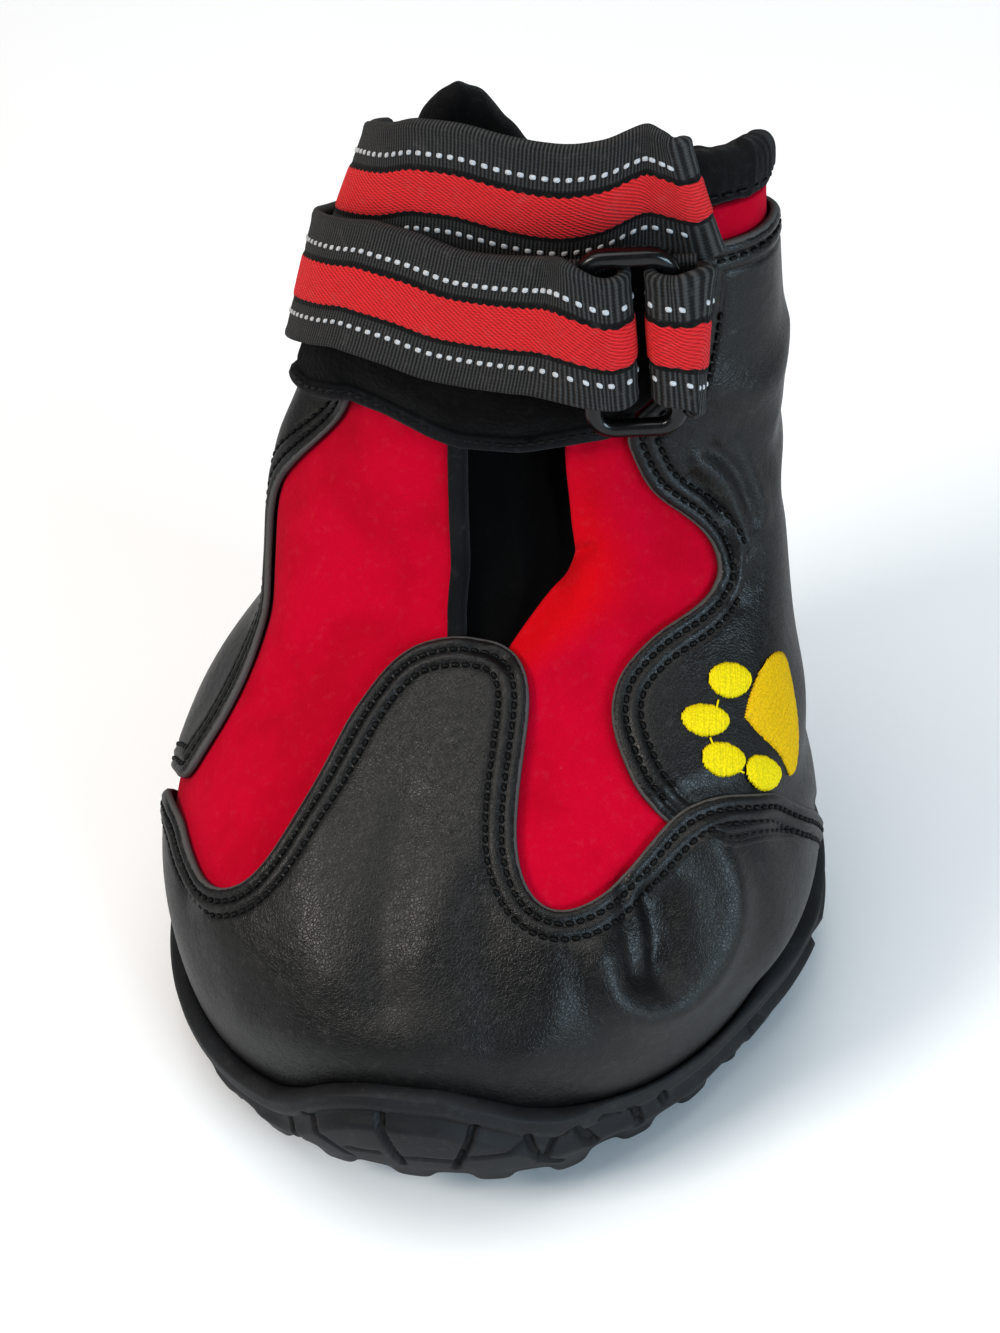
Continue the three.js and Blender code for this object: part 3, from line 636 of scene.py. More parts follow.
def leatherMaterial():
    base, worn, crease, cutEdgeAndHighlight = ((0.0045, 0.0045, 0.0046, 1), (0.0115, 0.0112, 0.0108, 1),
                                   (0.006, 0.006, 0.006, 1), (0.10, 0.096, 0.092, 1))
    material, tree, sockets = newMaterial("blackLeather", Specular_IOR_Level=0.45)
    grain = placed(tree, "grain", Cells_per_metre=2500.0)
    cut = placed(tree, "cutEdgeAndHighlight", Width=0.22)["Mask"]
    colour = colourMix(tree, ramp(tree, grain["Cloud"], 0.35, 0.7), base, worn)
    # painted shade: the colour is pulled toward a near-black in the grain's creases
    colour = colourMix(tree, times(tree, grain["Creases"], 0.25), colour, crease)
    # the pale edge line: partly the cut edge's own colour, partly a painted highlight along the edge
    colour = colourMix(tree, cut, dusted(tree, colour, 0.32, 0.16, 0.15, 0.14), cutEdgeAndHighlight)
    rough = ramp(tree, grain["Cloud"], 0.3, 0.75, (0.31, 0.45))
    rough = plus(tree, rough, times(tree, grain["Creases"], 0.08))
    pebbles = bumped(tree, noise(tree, 620.0, 3.0, 0.6), 0.5, 0.00022)
    wire(tree, sockets, Base_Color=colour, Roughness=compute(tree, "MAXIMUM", rough, times(tree, cut, 0.85)),
         Normal=bumped(tree, grain["Height"], 0.4, 0.00007, Normal=pebbles))
    return material


def softshellMaterial():
    # inside: an orange-red painted shade tint, mixed in where the turned attribute marks the cloth beside the
    # throat's right edge
    base, deep, inside = (0.50, 0.0012, 0.032, 1), (0.43, 0.001, 0.024, 1), (0.58, 0.003, 0.012, 1)
    material, tree, sockets = newMaterial("redSoftshell", Specular_IOR_Level=0.06, Roughness=0.9,
                                          Sheen_Weight=0.03, Sheen_Roughness=0.5)
    cloth = placed(tree, "cloth", Threads_per_metre=2900.0)
    turned = addNode(tree, "Attribute", attribute_name="turned").outputs["Fac"]
    colour = colourMix(tree, ramp(tree, cloth["Cloud"], 0.38, 0.68), base, deep)
    colour = colourMix(tree, turned, colour, inside)
    wire(tree, sockets, Base_Color=dusted(tree, colour, 0.08, 0.75, 0.35, 0.36),
         Normal=bumped(tree, cloth["Height"], 0.35, 0.00016))
    return material


def darkClothMaterial(name, base, pale, threads, depth, sheen=0.25, dust=0.35):
    material, tree, sockets = newMaterial(name, Specular_IOR_Level=0.12, Roughness=0.9, Sheen_Weight=sheen,
                                          Sheen_Roughness=0.4)
    cloth = placed(tree, "cloth", Threads_per_metre=threads)
    colour = colourMix(tree, ramp(tree, cloth["Cloud"], 0.35, 0.7), (*base, 1), (*pale, 1))
    wire(tree, sockets, Base_Color=dusted(tree, colour, dust, 0.14, 0.13, 0.13),
         Normal=bumped(tree, cloth["Height"], 0.6, depth))
    return material


def webbingMaterial():
    black, rib, teeth = (0.016, 0.016, 0.0158, 1), (0.078, 0.077, 0.076, 1), (0.008, 0.008, 0.008, 1)
    red, deepRed = (0.80, 0.048, 0.050, 1), (0.44, 0.012, 0.020, 1)
    material, tree, sockets = newMaterial("stripedWebbing", Specular_IOR_Level=0.16, Roughness=0.8,
                                          Sheen_Weight=0.04)
    woven = placed(tree, "webbing", Ribs_per_mm=2.3)
    colour = colourMix(tree, ramp(tree, woven["Height"], -0.2, 0.9), black, rib)
    colour = colourMix(tree, woven["Teeth"], colour, teeth)
    colour = colourMix(tree, woven["Band"], colour, colourMix(tree, woven["Light"], deepRed, red))
    wire(tree, sockets, Base_Color=dusted(tree, colour, 0.3, 0.3, 0.27, 0.26),
         Normal=bumped(tree, woven["Height"], 0.7, 0.00022))
    return material


def threadMaterial(name, base, rough=0.6):
    material, tree, sockets = newMaterial(name, Specular_IOR_Level=0.25)
    strands = noise(tree, 4200.0)
    dark, pale = ((*(min(1.0, channel * share) for channel in base), 1) for share in (0.86, 1.08))
    wire(tree, sockets, Base_Color=colourMix(tree, ramp(tree, strands, 0.35, 0.65), dark, pale),
         Roughness=ramp(tree, strands, 0.3, 0.7, (rough, rough + 0.2)),
         Normal=bumped(tree, strands, 0.4, 0.00008))
    return material


def rubberMaterial():
    base, pale, deep = (0.012, 0.0125, 0.014, 1), (0.022, 0.023, 0.026, 1), (0.006, 0.006, 0.007, 1)
    material, tree, sockets = newMaterial("slateRubber", Specular_IOR_Level=0.3)
    cloud, fine = noise(tree, 60.0, 4.0, 0.6), noise(tree, 2600.0, 3.0, 0.6)
    groove = addNode(tree, "Attribute", attribute_name="groove").outputs["Fac"]
    colour = colourMix(tree, ramp(tree, cloud, 0.35, 0.68), base, pale)
    # painted shade: darker in the grooves, gaps and recesses that the groove attribute marks
    colour = colourMix(tree, times(tree, groove, 0.75), colour, deep)
    wire(tree, sockets, Base_Color=dusted(tree, colour, 0.4, 0.13, 0.13, 0.13),
         Roughness=ramp(tree, cloud, 0.3, 0.7, (0.5, 0.66)),
         Normal=bumped(tree, plus(tree, fine, cloud), 0.35, 0.00012))
    return material


def plasticMaterial():
    material, tree, sockets = newMaterial("glossyPlastic", Specular_IOR_Level=0.45, Coat_Weight=0.2,
                                          Coat_Roughness=0.12)
    cloud = noise(tree, 240.0, 4.0, 0.6)
    wire(tree, sockets, Base_Color=dusted(tree, (0.004, 0.004, 0.0045, 1), 0.25, 0.10, 0.10, 0.10),
         Roughness=ramp(tree, cloud, 0.3, 0.7, (0.2, 0.34)), Normal=bumped(tree, cloud, 0.15, 0.0001))
    return material


def floorMaterial():
    material, tree, sockets = newMaterial("paleFloor", Roughness=0.6, Specular_IOR_Level=0.3)
    wire(tree, sockets, Base_Color=colourMix(tree, noise(tree, 3.0, 3.0), (0.90, 0.90, 0.905, 1),
                                             (0.94, 0.94, 0.945, 1)))
    return material


darkCloths = {
    # name, colour, paler colour, threads per metre, depth of the knit, then sheen and dust
    "lining": ("blackLining", (0.010, 0.010, 0.011), (0.018, 0.018, 0.019), 1500.0, 0.0003),
    "gusset": ("blackGusset", (0.0012, 0.0012, 0.0014), (0.0025, 0.0025, 0.0028), 2600.0, 0.0002, 0.0, 0.04),
    "binding": ("bindingTape", (0.010, 0.0105, 0.012), (0.017, 0.0175, 0.020), 2400.0, 0.0002, 0.1),
    "flap": ("loopFabric", (0.0012, 0.0012, 0.0014), (0.004, 0.004, 0.0044), 1300.0, 0.0006, 0.08, 0.15),
    "collar": ("collarFabric", (0.007, 0.007, 0.0075), (0.013, 0.013, 0.0135), 2000.0, 0.0003, 0.12),
    "insole": ("insoleBoard", (0.020, 0.020, 0.021), (0.034, 0.034, 0.035), 1200.0, 0.0003),
}
paint = {
    "leather": leatherMaterial(),
    "softshell": softshellMaterial(),
    **{key: darkClothMaterial(*look) for key, look in darkCloths.items()},
    "webbing": webbingMaterial(),
    "dots": threadMaterial("paleThread", (0.52, 0.52, 0.53)),
    "blackThread": threadMaterial("blackThread", (0.004, 0.004, 0.004), 0.4),
    "yellowThread": threadMaterial("yellowThread", (0.73, 0.59, 0.003)),
    "goldThread": threadMaterial("goldThread", (0.68, 0.44, 0.003)),
    "rubber": rubberMaterial(),
    "plastic": plasticMaterial(),
}
print("stage: materials made")


# Upper: red softshell, black lining, the throat cut down its front

upper = {
    "foot": 5.85, "top": 98.15, "wall": 1.8, "spacing": 1.05, "rings": (0.35, 0.8, 1.5, 2.4),
    "seamTurn": 3.0,               # where the tube's own seam runs, under the toe cap
    # the throat's sides: x, height
    "left": [(0.6, 51.2), (-0.3, 57), (-0.5, 70), (5, 112)],
    "right": [(4.6, 51.2), (7.3, 54.1), (10, 56.9), (12.1, 58.9), (12.8, 60.8), (12.3, 64), (11.6, 72),
              (16.5, 112)],
    "throatFoot": 51.2, "throatTop": 97.6, "bound": (50.8, 94),
    "throatEdge": (-0.45, 0, 0.5),  # how far it sinks, at what distance from the edge, how wide
    # the tape's section: how far toward the opening, how far out
    "tape": [(-1.5, 0.1), (-1.55, 0.34), (-1.3, 0.52), (-0.9, 0.58), (-0.4, 0.58), (0.05, 0.45), (0.32, 0.1),
             (0.36, -0.7), (0.3, -1.6), (-0.1, -2.15), (-0.7, -2.3), (-1.5, -2.28), (-1.9, -2.2),
             (-1.95, -1.95), (-1.3, -1.9), (-0.3, -1.85), (-0.05, -1.2), (-0.05, -0.4), (-0.4, 0.04),
             (-0.9, 0.05)],
}


def throatSide(side, heights):  # turns along one side of the throat
    x, height = zip(*upper[side])
    return turnAt(steadyThrough(height, x)(heights), heights)


def levelPath(turns, height):
    return np.stack([turns, np.full(len(turns), height)], 1)


def makeUpperShell():
    seam, foot, corner = upper["seamTurn"], upper["foot"], upper["throatFoot"]
    heights = np.linspace(corner, upper["throatTop"], 120)
    left, right = throatSide("left", heights), throatSide("right", heights)
    rightEdge = np.stack([right, slanted(right, heights)], 1)
    top = np.linspace(left[-1] + 360, right[-1], 400)[1:-1]
    seamHeights = np.linspace(foot, corner, 60)[1:-1]
    outline = np.concatenate([
        levelPath(np.linspace(seam, seam + 360, 420), foot),
        np.stack([np.full(len(seamHeights), seam + 360), seamHeights], 1),
        levelPath(np.linspace(seam + 360, left[0] + 360, 5)[:-1], corner),
        np.stack([left + 360, slanted(left, heights)], 1),
        np.stack([top, slanted(top, upper["top"])], 1),
        rightEdge[::-1],
        levelPath(np.linspace(right[0], seam, 5)[1:], corner),
        np.stack([np.full(len(seamHeights), seam), seamHeights[::-1]], 1),
    ])
    sheet = cutSheet(outline, upper["rings"], upper["spacing"])

    def topLift(turn, height, distance):
        inFront = (np.abs(wrapped(turn)) < 40) & (height > 52)
        return np.where(inFront, ridge(distance, *upper["throatEdge"]), 0)

    points, faces, edge, outer = thickSheet(sheet, topLift, lambda t, h, d: np.full(len(t), -upper["wall"]))
    # painted shade: an orange-red tint on the cloth within a few millimetres of the throat's right edge,
    # fading out above 56 mm, where the cloth turns in and faces away from the light
    gap = gapTo(evenly(lastPoint(*rightEdge.T), 0.5), points)
    cloud = np.sin(points[:, 2] * 0.35) * 1.2 + np.sin(points[:, 1] * 0.5) * 0.9
    low = smoothStep(points[:, 2], 78, 56)
    turned = smoothStep(gap, 8.5 + cloud, 2.0 + cloud * 0.5) * low * (points[:, 0] > 0)
    facing = np.zeros(len(faces))
    facing[outer:2 * outer] = 1
    piece = makePiece("upper_shell", points, faces, [paint["softshell"], paint["lining"]], "softshell",
                      replaces=("upper",), facing=facing, turned=turned)
    # the two sides of the seam become one, with no wall left inside it
    onSeam = (np.abs((sheet[0] - seam) % 360) < 1e-6) & (sheet[1] < corner + 0.01)
    tool = bmesh.new()
    tool.from_mesh(piece.data)
    tool.verts.ensure_lookup_table()
    seamPoints = [tool.verts[i] for i in np.flatnonzero(np.tile(onSeam, 2))]
    bmesh.ops.remove_doubles(tool, verts=seamPoints, dist=2e-6)
    merged = {vertex for vertex in seamPoints if vertex.is_valid}
    inner = [face for face in tool.faces if len(face.verts) == 4 and merged.issuperset(face.verts)]
    bmesh.ops.delete(tool, geom=inner, context="FACES")
    tool.to_mesh(piece.data)
    tool.free()


def makeThroatBinding():  # tape folded over the throat's left edge
    heights = np.linspace(*upper["bound"], 130)
    turns = throatSide("left", np.maximum(heights, upper["throatFoot"]))
    point, along, up, out = lastFrame(turns, slanted(turns, heights))
    centre = point + out * creaseLift(point)[:, None]
    inward = unit(np.cross(unit(np.gradient(centre, axis=0)), out))  # toward the opening
    wave = 0.06 * np.sin(heights * 1.9) + 0.06 * np.sin(heights * 0.83 + 1)
    rings = np.stack([centre + inward * side + out * (lift + 0.35 * wave)[:, None]
                      for side, lift in upper["tape"]], 1)
    tubePiece("throat_binding", rings, [paint["binding"]], "trim")


# Leather: toe cap, and the heel panel with its two wavy fronts

leather = {
    "lift": 0.45, "thick": 1.0, "foot": 8.5, "spacing": 0.68, "panelSpacing": 0.8,
    "rings": (0.1, 0.22, 0.4, 0.7, 1.1, 1.35, 1.6, 1.85, 2.15, 2.5, 2.9, 3.15, 3.4, 3.65, 3.95, 4.4, 5.0),
    "rows": (1.6, 3.4),            # stitch rows, from the edge
    # beside the edge: how high it stands, or sinks below zero, at what distance, how wide
    "profiles": [(-0.27, 1.6, 0.32), (-0.27, 3.4, 0.32), (0.16, 2.5, 0.5), (0.10, 0.8, 0.4)],
    "stitchedFrom": (15, 18), "lowestStitch": 15.5, "highestStitch": 94,
    "capSunk": 0.16, "panelSunk": 0.14, "backSunk": 0.1,  # how deep the stitches lie
    "capReach": 3, "panelReach": 2,  # how far both run on at their foot, in degrees
    # where the cap lies on the panel: its rise, the turns it starts at, the distance from its edge; and how
    # far the panel sinks there, at what distance from the cap's edge, and how far off its stitches end
    "overlap": 0.38, "overlapOuter": (46, 56), "overlapInner": (-60, -68), "overlapEdge": (4.2, 1.6),
    "under": 0.5, "underEdge": (3.2, 1.2), "clearOfCap": 1.7,
    # the seam down the back: a ridge with a groove on each side
    "ridge": (0.5, 0, 0.7), "ridgeGroove": (0.22, 1.6, 0.35),
    # turn and height along each cut edge
    "capEdge": [(-98, 13), (-86, 24), (-72, 31.2), (-60, 32.7), (-49, 31.8), (-38, 33.6), (-32.5, 37),
                (-30.2, 41.6), (-27.4, 45.8), (-22, 49.2), (-15, 51.5), (-6.5, 52.7), (1, 52.8), (6, 51.9),
                (9.2, 50), (10.2, 47.6), (10.6, 45), (11.8, 42.3), (14.4, 39.7), (18.2, 37.8), (23, 36.9),
                (29, 37.2), (34.7, 38.4), (43.9, 40.8), (50, 41.2), (57, 40.7), (65, 39.4), (75.6, 36.9),
                (84.9, 32.6), (97, 24), (112, 13)],
    "outerEdge": [(103, 13), (92, 22), (81, 29.5), (68, 34.5), (58, 36.5), (50, 38.8), (44, 40.7),
                  (39.8, 42.1), (35.9, 43.5), (33.1, 44.8), (30.1, 46.4), (28, 48.3), (29, 50.2), (33, 51.8),
                  (39.5, 53.3), (50, 54.8), (55.6, 57), (51.5, 60.8), (40.8, 64.8), (32.5, 68), (27, 72.3),
                  (25.5, 74.5), (28, 77), (38, 82), (42, 97)],
    "innerEdge": [(-100, 13), (-88.5, 24), (-76, 32), (-67.5, 35), (-66.5, 38.4), (-68, 41.3), (-71, 44),
                  (-76, 47.5), (-80, 50.5), (-80, 53), (-78, 56.5), (-74, 60), (-65, 64), (-57, 68),
                  (-50.5, 72), (-49, 74.5), (-53, 77), (-61, 82), (-66, 97)],
    "panelTop": 95,
}
leatherFace = leather["lift"] + leather["thick"]


def flatPath(points):  # a smooth path through turns and heights, at an even step over the last
    return np.stack(fromFlat(roundedThrough(toFlat(*np.array(points, float).T), 0.45)), 1)


capTop, outerEdge, innerEdge = (flatPath(leather[edge]) for edge in ("capEdge", "outerEdge", "innerEdge"))


def stitchedLift(distance, height):  # the leather's outer face near a stitched edge
    lift = leatherFace - 0.42 * np.exp(-(np.maximum(distance, 0) / 0.28) ** 1.5)
    upperPart = smoothStep(height, *leather["stitchedFrom"])
    for profile in leather["profiles"]:
        lift = lift + ridge(distance, profile[0] * upperPart, *profile[1:])
    return lift


def makeToeCap():
    left, right, foot, reach = capTop[0], capTop[-1], leather["foot"], leather["capReach"]
    leftFoot, rightFoot = (left[0] - reach, foot), (right[0] + reach, foot)
    outline = np.concatenate([capTop[::-1], np.linspace(left, leftFoot, 12)[1:-1],
                              np.linspace(leftFoot, rightFoot, 300), np.linspace(rightFoot, right, 12)[1:-1]])
    sheet = cutSheet(outline, leather["rings"], leather["spacing"])

    def overPanel(turn, distance):
        sides = smoothStep(turn, *leather["overlapOuter"]) + smoothStep(turn, *leather["overlapInner"])
        return leather["overlap"] * sides * smoothStep(distance, *leather["overlapEdge"])

    def topLift(turn, height, distance):
        return stitchedLift(distance, height) + overPanel(turn, distance)

    def bottomLift(turn, height, distance):
        return leather["lift"] + overPanel(turn, distance)

    points, faces, edge, outer = thickSheet(sheet, topLift, bottomLift)
    makePiece("toe_cap_leather", points, faces, [paint["leather"]], "leather", replaces=("toe_cap",),
              edge=edge)
    tree = nearTree(capTop)
    stitches = []
    for row in leather["rows"]:
        turns, heights = inset(*capTop[::-1].T, row)
        keep = (heights > leather["lowestStitch"]) & (distanceTo(tree, turns, heights) > row * 0.94)
        turns, heights = turns[keep], heights[keep]
        stitches += stitchRow(turns, heights, leatherFace - leather["capSunk"] + overPanel(turns, row))
    makeStitches("toe_cap_stitches", stitches)


def makeHeelPanel():  # it runs on a little under the toe cap, which covers it
    foot, reach, panelTop = leather["foot"], leather["panelReach"], leather["panelTop"]
    outer, inner = (path[(path[:, 1] > foot) & (slanted(path[:, 0], panelTop) > path[:, 1])]
                    for path in (outerEdge, innerEdge))
    inner = inner + (360, 0)
    bottom = np.linspace((outer[0][0] - reach, foot), (inner[0][0] + reach, foot), 330)
    turns = np.linspace(inner[-1][0], outer[-1][0], 330)[1:-1]
    top = np.stack([turns, slanted(turns, panelTop)], 1)
    outline = np.concatenate([bottom, inner, top, outer[::-1]])
    sheet = cutSheet(outline, leather["rings"], leather["panelSpacing"])
    capTree = nearTree(capTop)

    def under(turn, height):
        return leather["under"] * smoothStep(distanceTo(capTree, turn, height), *leather["underEdge"])

    def seamRidge(turn):
        gap = np.abs(turn % 360 - 180) * flatTurn
        return ridge(gap, *leather["ridge"]) - ridge(gap, *leather["ridgeGroove"])

    def topLift(turn, height, distance):
        return stitchedLift(distance, height) - under(turn, height) + seamRidge(turn)

    def bottomLift(turn, height, distance):
        return leather["lift"] - 0.35 * under(turn, height)

    points, faces, edge, count = thickSheet(sheet, topLift, bottomLift)
    makePiece("heel_panel_leather", points, faces, [paint["leather"]], "leather", replaces=("heel_panel",),
              edge=edge)
    lift = leatherFace - leather["panelSunk"]
    stitches = []
    for path in (outer[::-1], inner):
        tree = nearTree(path)
        for row in leather["rows"]:
            turns, heights = inset(*path.T, row)
            keep = (distanceTo(tree, turns, heights) > row * 0.94) & (heights < leather["highestStitch"])
            keep &= distanceTo(capTree, turns, heights) > leather["clearOfCap"]
            turns, heights = turns[keep], heights[keep]
            breaks = np.flatnonzero(np.linalg.norm(np.diff(lastPoint(turns, heights), axis=0), axis=1) > 3)
            for part in np.split(np.arange(len(turns)), breaks + 1):  # each unbroken run
                if len(part) > 8:
                    stitches += stitchRow(turns[part], heights[part], lift)
    turns = np.linspace(inner[-1][0] - 5, outer[-1][0] + 5, 300)
    stitches += stitchRow(turns, slanted(turns, panelTop - leather["rows"][0]), lift)
    for gap in (-leather["ridgeGroove"][1], leather["ridgeGroove"][1]):
        turns, heights = np.full(200, 180 + gap / flatTurn), np.linspace(17, 92, 200)
        stitches += stitchRow(turns, slanted(turns, heights), leatherFace - leather["backSunk"])
    makeStitches("heel_panel_stitches", stitches)


# Paw print: satin stitches over the outer bulge of the heel panel

paw = {
    "lift": 1.42, "pile": 0.42, "thread": 0.34,
    # turn, height, half length, half height, tilt
    "toes": [(59.6, 47.9, 3.5, 1.75, -38), (52.2, 46.1, 3.6, 1.6, -34), (57.6, 43, 3.7, 1.6, -38),
             (70.4, 39.8, 4.2, 1.55, -42)],
    "pad": [(64.6, 44.8), (67.6, 46.4), (73, 47.4), (79, 47.2), (85, 45.8), (88.2, 43), (88.4, 39.6),
            (86, 36.9), (83, 36.3), (78.6, 38.9), (72, 42)],
    "jumps": [((55.6, 47.0), (55.0, 46.4)), ((53.4, 44.9), (54.2, 44.4)), ((62.0, 41.6), (63.4, 41.2))],
}


def satinPatch(outline, angle):  # threads side by side over an outline in flat millimetres, domed
    middle = outline.mean(0)
    turnBack = np.array([[math.cos(angle), math.sin(angle)], [-math.sin(angle), math.cos(angle)]])
    local = (outline - middle) @ turnBack.T
    low, high = local[:, 1].min(), local[:, 1].max()
    seed = np.random.default_rng(7)
    t = np.linspace(0, 1, 15)
    dome = paw["pile"] * np.minimum(1, 3.2 * np.minimum(t, 1 - t)) ** 0.5
    radius = paw["thread"] / 2 * (1 - 0.4 * np.abs(2 * t - 1) ** 8)
    parts = []
    for v in np.arange(low + paw["thread"] * 0.3, high, paw["thread"] * 0.82):
        crossings = sorted(x0 + (x1 - x0) * (v - y0) / (y1 - y0)
                           for (x0, y0), (x1, y1) in zip(local, np.roll(local, -1, axis=0))
                           if (y0 > v) != (y1 > v))
        level = (v - low) / (high - low)
        level = 0.55 + 0.45 * min(1, 4 * min(level, 1 - level) + 0.1)
        for start, end in zip(crossings[::2], crossings[1::2]):
            start, end = start - seed.uniform(0, 0.16), end + seed.uniform(0, 0.16)
            across = np.full(len(t), v + seed.uniform(-0.03, 0.03))
            turns, heights = fromFlat(np.stack([start + (end - start) * t, across], 1) @ turnBack + middle)
            centre = offLast(turns, heights, paw["lift"] + dome * level + seed.uniform(0, 0.06))
            parts.append(laidTube(centre, turns, heights, radius, 6, tall=0.8))
    return parts


def makePaw():
    toes = []
    angles = np.radians(np.arange(0, 360, 12))
    for turn, height, long, tall, tilt in paw["toes"]:
        u, v = long * np.cos(angles), tall * np.sin(angles)
        c, s = math.cos(math.radians(tilt)), math.sin(math.radians(tilt))
        perTurn, perHeight = (np.linalg.norm(slope) for slope in lastSlopes(turn, height))
        toes += satinPatch(toFlat(turn + (u * c - v * s) / perTurn, height + (u * s + v * c) / perHeight),
                           math.radians(90))
    for start, end in paw["jumps"]:
        centre = offLast(*np.linspace(start, end, 9).T, paw["lift"] + 0.22)
        along = unit(np.gradient(centre, axis=0))
        side = unit(np.cross(along, (0.3, -0.5, 0.81)))
        toes.append(tube(centre, side, np.cross(side, along), 0.13, 8))
    makeStitches("paw_toes", toes, "yellowThread")
    rounded = roundedThrough(toFlat(*np.array(paw["pad"] + paw["pad"][:1]).T), 0.5)[:-1]
    makeStitches("paw_pad", satinPatch(rounded, math.radians(20)), "goldThread")


# Gusset: black sheet folded inward behind the throat

gusset = {"low": 48, "high": 94.5, "wall": 0.9, "fold": 4.5, "lift": -2.25, "rows": 90, "columns": 60}


def makeGusset():
    rows, columns = gusset["rows"], gusset["columns"]
    heights = np.linspace(gusset["low"], gusset["high"], rows)
    middle = np.where(heights > 60, 11, 3 + 8 * (heights - gusset["low"]) / 12)
    half = np.where(heights > 60, 22.0, 16.0)
    middle, half = (np.convolve(np.pad(value, 6, mode="edge"), np.ones(13) / 13, mode="valid")[:, None]
                    for value in (middle, half))
    share, level = np.linspace(-1, 1, columns)[None], heights[:, None]
    turn = middle + half * share
    fold = gusset["fold"] * smoothStep(level, 50, 64) * (1 - np.sqrt(share ** 2 + 0.012))
    slack = 0.55 * np.sin(share * 9 + level * 0.16) + 0.3 * np.sin(level * 0.45 + share * 4)
    lift = gusset["lift"] - fold - np.abs(slack * (1 - share ** 2)) * smoothStep(level, 52, 60)
    front, back = offSmooth(turn, level, lift), offSmooth(turn, level, lift - gusset["wall"])
    grid, ids = gridFaces(rows, columns), np.arange(rows * columns).reshape(rows, columns)
    border = np.concatenate([ids[0], ids[1:, -1], ids[-1, -2::-1], ids[-2:0:-1, 0]])
    following, count = np.roll(border, -1), ids.size
    walls = np.stack([following, border, border + count, following + count], 1)
    faces = np.concatenate([grid, grid[:, ::-1] + count, walls])
    piece = makePiece("gusset_sheet", np.concatenate([front, back]).reshape(-1, 3), faces, [paint["gusset"]],
                      "trim", replaces=("gusset",))


# Front flap: padded loop fabric with a bound lower edge

flap = {
    "top": 90, "lift": 0.4, "thick": 1.1, "tape": 1.9, "spacing": 0.75,
    "rings": (0.15, 0.4, 0.8, 1.3, 1.7, 1.9, 2.1, 2.5, 3.2),
    # turn, height: the lower edge, then the right side along the leather's edge
    "lower": [(-79, 72.2), (-60, 72.9), (-50, 74), (-42, 74.7), (-32, 74.5), (-24, 73.7), (-16, 72.7),
              (-8, 72), (0, 72), (9, 73), (15.5, 73.8), (21, 74.3), (24.8, 75.4)],
    "right": [(24.8, 75.4), (27.4, 77.4), (36.8, 82.4), (39.4, 90), (41, 96.6), (26, 96.2), (14, 94.2),
              (4, 92), (-10, 90)],
}


def makeFlap():
    lower, side = np.array(flap["lower"]), np.array(flap["right"])
    turns = np.linspace(lower[0, 0], lower[-1, 0], 200)
    bottom = np.stack([turns, steadyThrough(*lower.T)(turns)], 1)
    right = np.concatenate([np.linspace(a, b, 9)[:-1] for a, b in zip(side[:-1], side[1:])])[1:]
    top = levelPath(np.linspace(side[-1, 0], turns[0], 200), flap["top"])
    left = np.linspace(top[-1], bottom[0], 24)[1:-1]
    sheet = cutSheet(np.concatenate([bottom, right, top, left]), flap["rings"], flap["spacing"])
    edge = nearTree(bottom)

    def overPanel(turn):  # at the inner side it lies on the leather
        return smoothStep(turn, -43, -50)

    def topLift(turn, height, distance):
        gap = distanceTo(edge, turn, height)
        thick = flap["thick"] * (1 - ridge(distance, 0.6, 0, 0.35)) * (1 - 0.3 * overPanel(turn))
        tape = 0.35 * smoothStep(gap, flap["tape"] + 0.12, flap["tape"] - 0.12) * smoothStep(gap, 0.0, 0.5)
        channel = ridge(gap, -0.25, flap["tape"] + 0.35, 0.4)
        pad = 0.45 * smoothStep(gap, 2.4, 5.0) * (1 - overPanel(turn)) * smoothStep(height, 91, 86)
        wave = 0.16 * np.sin(turn * 0.21 + 1) * np.sin(height * 0.5)
        return flap["lift"] + thick + tape + channel + pad + wave + overPanel(turn)

    def bottomLift(turn, height, distance):
        return flap["lift"] - 0.05 + overPanel(turn)

    points, faces, edgeGap, outer = thickSheet(sheet, topLift, bottomLift, offSmooth)
    turn, height, distance, triangles, rim = sheet
    onTape = distanceTo(edge, turn, height) < flap["tape"]
    facing = np.zeros(len(faces))
    facing[:outer] = onTape[triangles].sum(1) >= 2
    facing[2 * outer:] = onTape[:rim]
    piece = makePiece("front_flap_pad", points, faces, [paint["flap"], paint["binding"]], "trim",
                      replaces=("front_flap",), facing=facing)
    turn, height = inset(*bottom.T, 1.45)
    keep = (turn > turns[0] + 2) & (turn < turns[-1] - 3)
    turn, height = turn[keep], height[keep]
    lift = flap["lift"] + flap["thick"] + 0.25 + 0.7 * overPanel(turn)
    makeStitches("flap_stitches", stitchRow(turn, height, lift, place=offSmooth), slot="trim")


# Collar: a soft padded roll round the slack top

collar = {"low": 98.3, "high": 104.2, "middle": -0.9, "half": 1.75, "seam": 99.6}


